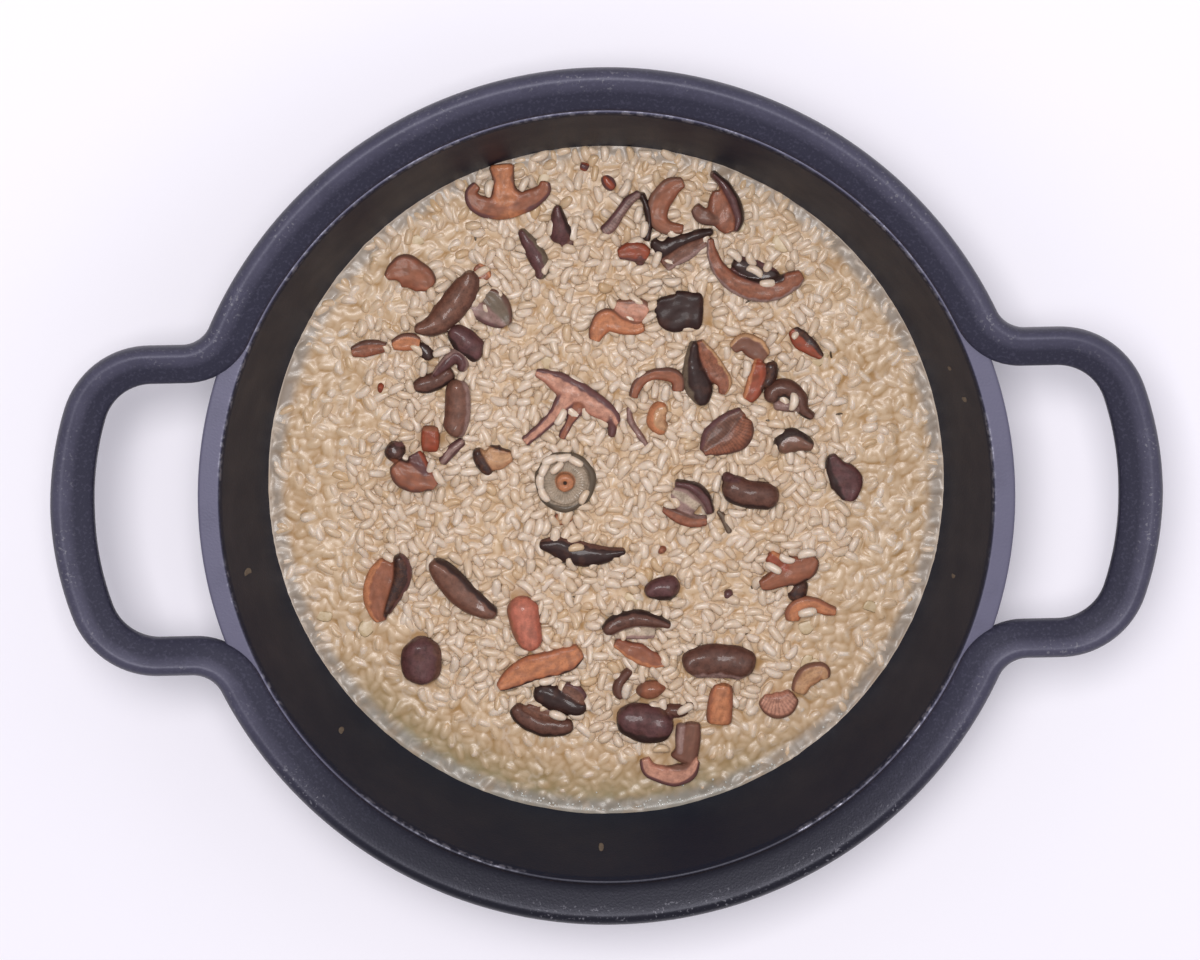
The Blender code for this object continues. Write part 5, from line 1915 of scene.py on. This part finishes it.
@dataclass
class Trimmings:
    """The small things: onion flakes, herb flecks, bubbles at the south edge, dried sauce on the wall."""

    seed: int = 41
    onion_count: int = 20
    bubble_count: int = 150
    herbs: tuple = ((94, 26, 10), (92, 18, 130), (66, 24, 0), (58, -43, 90), (56, -62, 40),
                    (58, 72, 20), (91, 50, 100), (-13, -46, 0), (-62, -54, 60), (-96, -13, 20),
                    (-50, 100, 90), (79, 37, 5))
    smears: tuple = ((191, 70, 8, 2.6), (221, 62, 6, 2.2), (14, 72, 5, 2.2), (19, 66, 4, 1.8),
                     (268, 64, 7, 2), (345, 60, 4, 1.6))
    onion: PlainFinish = PlainFinish("onion_flakes", (0.50, 0.37, 0.21), (0.58, 0.45, 0.29), 0.4)
    herb: PlainFinish = PlainFinish("herb_flecks", (0.05, 0.03, 0.012), (0.09, 0.05, 0.02), 0.4)
    bubble: PlainFinish = PlainFinish("edge_bubbles", (0.42, 0.41, 0.36), (0.62, 0.61, 0.57), 0.08)
    dried: PlainFinish = PlainFinish("dried_smears", (0.12, 0.085, 0.06), (0.16, 0.125, 0.09), 0.6)

    def onion_rows(self, rng: np.random.Generator) -> np.ndarray:
        """Strews the onion flakes over the risotto.

        Args:
            rng: The source of random numbers.

        Returns:
            Rows of x, y, turn, length and width, in mm and degrees.
        """
        count = self.onion_count
        reach, around = 128 * np.sqrt(rng.uniform(0.02, 1, count)), rng.uniform(0, 2 * np.pi, count)
        return np.column_stack([reach * np.cos(around), reach * np.sin(around), rng.uniform(0, 180, count),
                                rng.uniform(6, 9.5, count), rng.uniform(4, 6.5, count)])

    def bubble_rows(self, rng: np.random.Generator) -> np.ndarray:
        """Strews the bubbles along the south edge.

        Args:
            rng: The source of random numbers.

        Returns:
            Rows of x, y, turn, length and width, in mm.
        """
        count = self.bubble_count
        turn = rng.normal(-1.5, 0.32, count)
        reach = wall_radius(RICE_LEVEL) / MM - 0.9 - rng.exponential(1.5, count).clip(0, 8)
        size = rng.uniform(0.4, 1.05, count)
        return np.column_stack([reach * np.cos(turn), reach * np.sin(turn), 0 * turn, size, size])

    def scatter(self, rows: np.ndarray, z: np.ndarray, thick: float, rng: np.random.Generator) -> Grains:
        """Makes flakes.

        Args:
            rows: Their x, y, turn, length and width, in mm and degrees.
            z: Their heights, in metres.
            thick: How thick they are, as a share of their width.
            rng: The source of random numbers.

        Returns:
            The flakes.
        """
        x, y, turn, length, width = rows.T
        tilt = rng.normal(0, 0.12, len(x))
        tint = rng.uniform(0.3, 1, len(x))
        return Grains(x * MM, y * MM, z, np.radians(turn), tilt, length * MM, width * MM, tint, thick)

    def piece(self, grains: Grains, finish: PlainFinish, slot: str, rng: np.random.Generator) -> None:
        """Meshes the flakes and hands them over as a piece with the finish's name."""
        points, faces, _ = grains.mesh(6, 10, rng)
        hand_over(new_piece(finish.name, points, faces, finish.make()), slot)

    def smear(self, rng: np.random.Generator) -> None:
        """Lays the dried smears flat on the wall, each given by its turn, height, length and width.

        Args:
            rng: The source of random numbers.
        """
        around, height, length, width = np.array(self.smears, float).T
        reach = wall_radius(height * MM) / MM - 0.1
        c, s = np.cos(np.radians(around)), np.sin(np.radians(around))
        rows = np.column_stack([reach * c, reach * s, around, length, width])
        grains = self.scatter(rows, height * MM, 0.12, rng)
        grains.tilt = np.full(len(around), math.pi / 2 - WALL_LEAN)
        self.piece(grains, self.dried, "black_coat", rng)

    def build(self, bed: "RiceBed", maps: dict) -> None:
        """Builds each kind in turn, at the height of the sauce where it lies.

        Args:
            bed: The rice, for its maps' places.
            maps: The sauce's maps.
        """
        rng = np.random.default_rng(self.seed)

        def lay(finish: PlainFinish, rows: np.ndarray, lift: float, thick: float) -> None:
            """Lays flakes so far over the sauce, as thick as that share of their width."""
            level = bed.raster.read(maps["height"], rows[:, 0] * MM, rows[:, 1] * MM)
            self.piece(self.scatter(rows, level + lift, thick, rng), finish, "creamy_rice", rng)

        lay(self.onion, self.onion_rows(rng), 0.1 * MM, 0.14)
        herb_rows = np.array([(x, y, turn, 3.0, 0.9) for x, y, turn in self.herbs], float)
        lay(self.herb, herb_rows, 0.35 * MM, 0.6)
        lay(self.bubble, self.bubble_rows(rng), 0.1 * MM, 0.8)
        self.smear(rng)


# Floor, light and camera

@dataclass
class Studio:
    """A plain pale floor, soft light from all round and above, and a camera that looks down."""

    camera_place: tuple = (-2.4 * MM, 206.8 * MM, LIP_HEIGHT + 1449.6 * MM)
    tilt: float = math.radians(7.78)
    roll: float = math.radians(-1.2)
    lens: float = 113.3
    floor_size: float = 6.0
    paper: PlainFinish = PlainFinish("pale_floor", (0.93, 0.905, 0.965), (0.94, 0.915, 0.97), 0.6, 0.4)
    lamps: tuple = (("overhead_panel", (-0.1, 0.36, 2.0), 0.62, 25.8),
                    ("side_panel", (1.2, 0.2, 1.3), 1.2, 2.5))
    lamp_color: tuple = (1.0, 0.985, 0.99)
    sky_color: tuple = (0.93, 0.92, 1.0)
    sky_strength: float = 0.475

    def build(self) -> None:
        """Sets up the floor, the lamps, the sky and the camera."""
        half = self.floor_size / 2
        mesh = bpy.data.meshes.new("floor")
        corners = [(-half, -half, 0), (half, -half, 0), (half, half, 0), (-half, half, 0)]
        mesh.from_pydata(corners, [], [(0, 1, 2, 3)])
        mesh.materials.append(self.paper.make())
        floor = add_object("floor", mesh)
        for lamp in self.lamps:
            self.lamp(*lamp)
        world = bpy.data.worlds.new("soft_sky")
        world.use_nodes = True
        sky = world.node_tree.nodes["Background"].inputs
        sky["Color"].default_value = (*self.sky_color, 1)
        sky["Strength"].default_value = self.sky_strength
        bpy.context.scene.world = world
        bpy.context.scene.view_settings.view_transform = "Standard"
        self.camera()

    def lamp(self, name: str, place: tuple, size: float, power: float) -> None:
        """Hangs one square area lamp that faces the pan.

        Args:
            name: The lamp's name.
            place: Where it hangs, in metres.
            size: The length of its side.
            power: Its power, in watts.
        """
        light = bpy.data.lights.new(name, "AREA")
        light.size, light.energy, light.color = size, power, self.lamp_color
        back = np.array(place) / np.linalg.norm(place)
        right = np.cross((0, 0, 1), back)
        right /= np.linalg.norm(right)
        aim(add_object(name, light), place, right, np.cross(back, right))

    def camera(self) -> None:
        """Places the camera: it looks down, tilted to the south, and is rolled a little."""
        data = bpy.data.cameras.new("camera")
        data.lens, data.sensor_width, data.clip_end = self.lens, 36.0, 20.0
        camera = add_object("camera", data)
        right, up = np.array([1.0, 0, 0]), np.array([0, math.cos(self.tilt), -math.sin(self.tilt)])
        c, s = math.cos(self.roll), math.sin(self.roll)
        aim(camera, self.camera_place, c * right + s * up, c * up - s * right)
        bpy.context.scene.camera = camera


MUSHROOM_FINISHES = (
    MushroomFinish("mushroom_dark", (0.022, 0.010, 0.008), 0.4, 0.14),
    MushroomFinish("mushroom_brown", (0.055, 0.026, 0.018), 0.38, 0.26),
    MushroomFinish("mushroom_orange", (0.17, 0.066, 0.032), 0.4, 0.22),
    MushroomFinish("mushroom_pink", (0.17, 0.070, 0.050), 0.4, 0.22),
    MushroomFinish("mushroom_olive", (0.10, 0.078, 0.052), 0.38, 0.24),
)


def main() -> None:
    """Builds the pan, the mushrooms, the rice and the studio in order."""
    logging.basicConfig(level=logging.INFO, format="%(name)s %(message)s")
    Pan().build()
    materials = {finish.name: finish.make() for finish in MUSHROOM_FINISHES}
    MushroomPieces(MUSHROOMS).build(materials)
    RingCap().build(materials)
    bed = RiceBed()
    Trimmings().build(bed, bed.build())
    Studio().build()


if __name__ == "__main__":
    main()
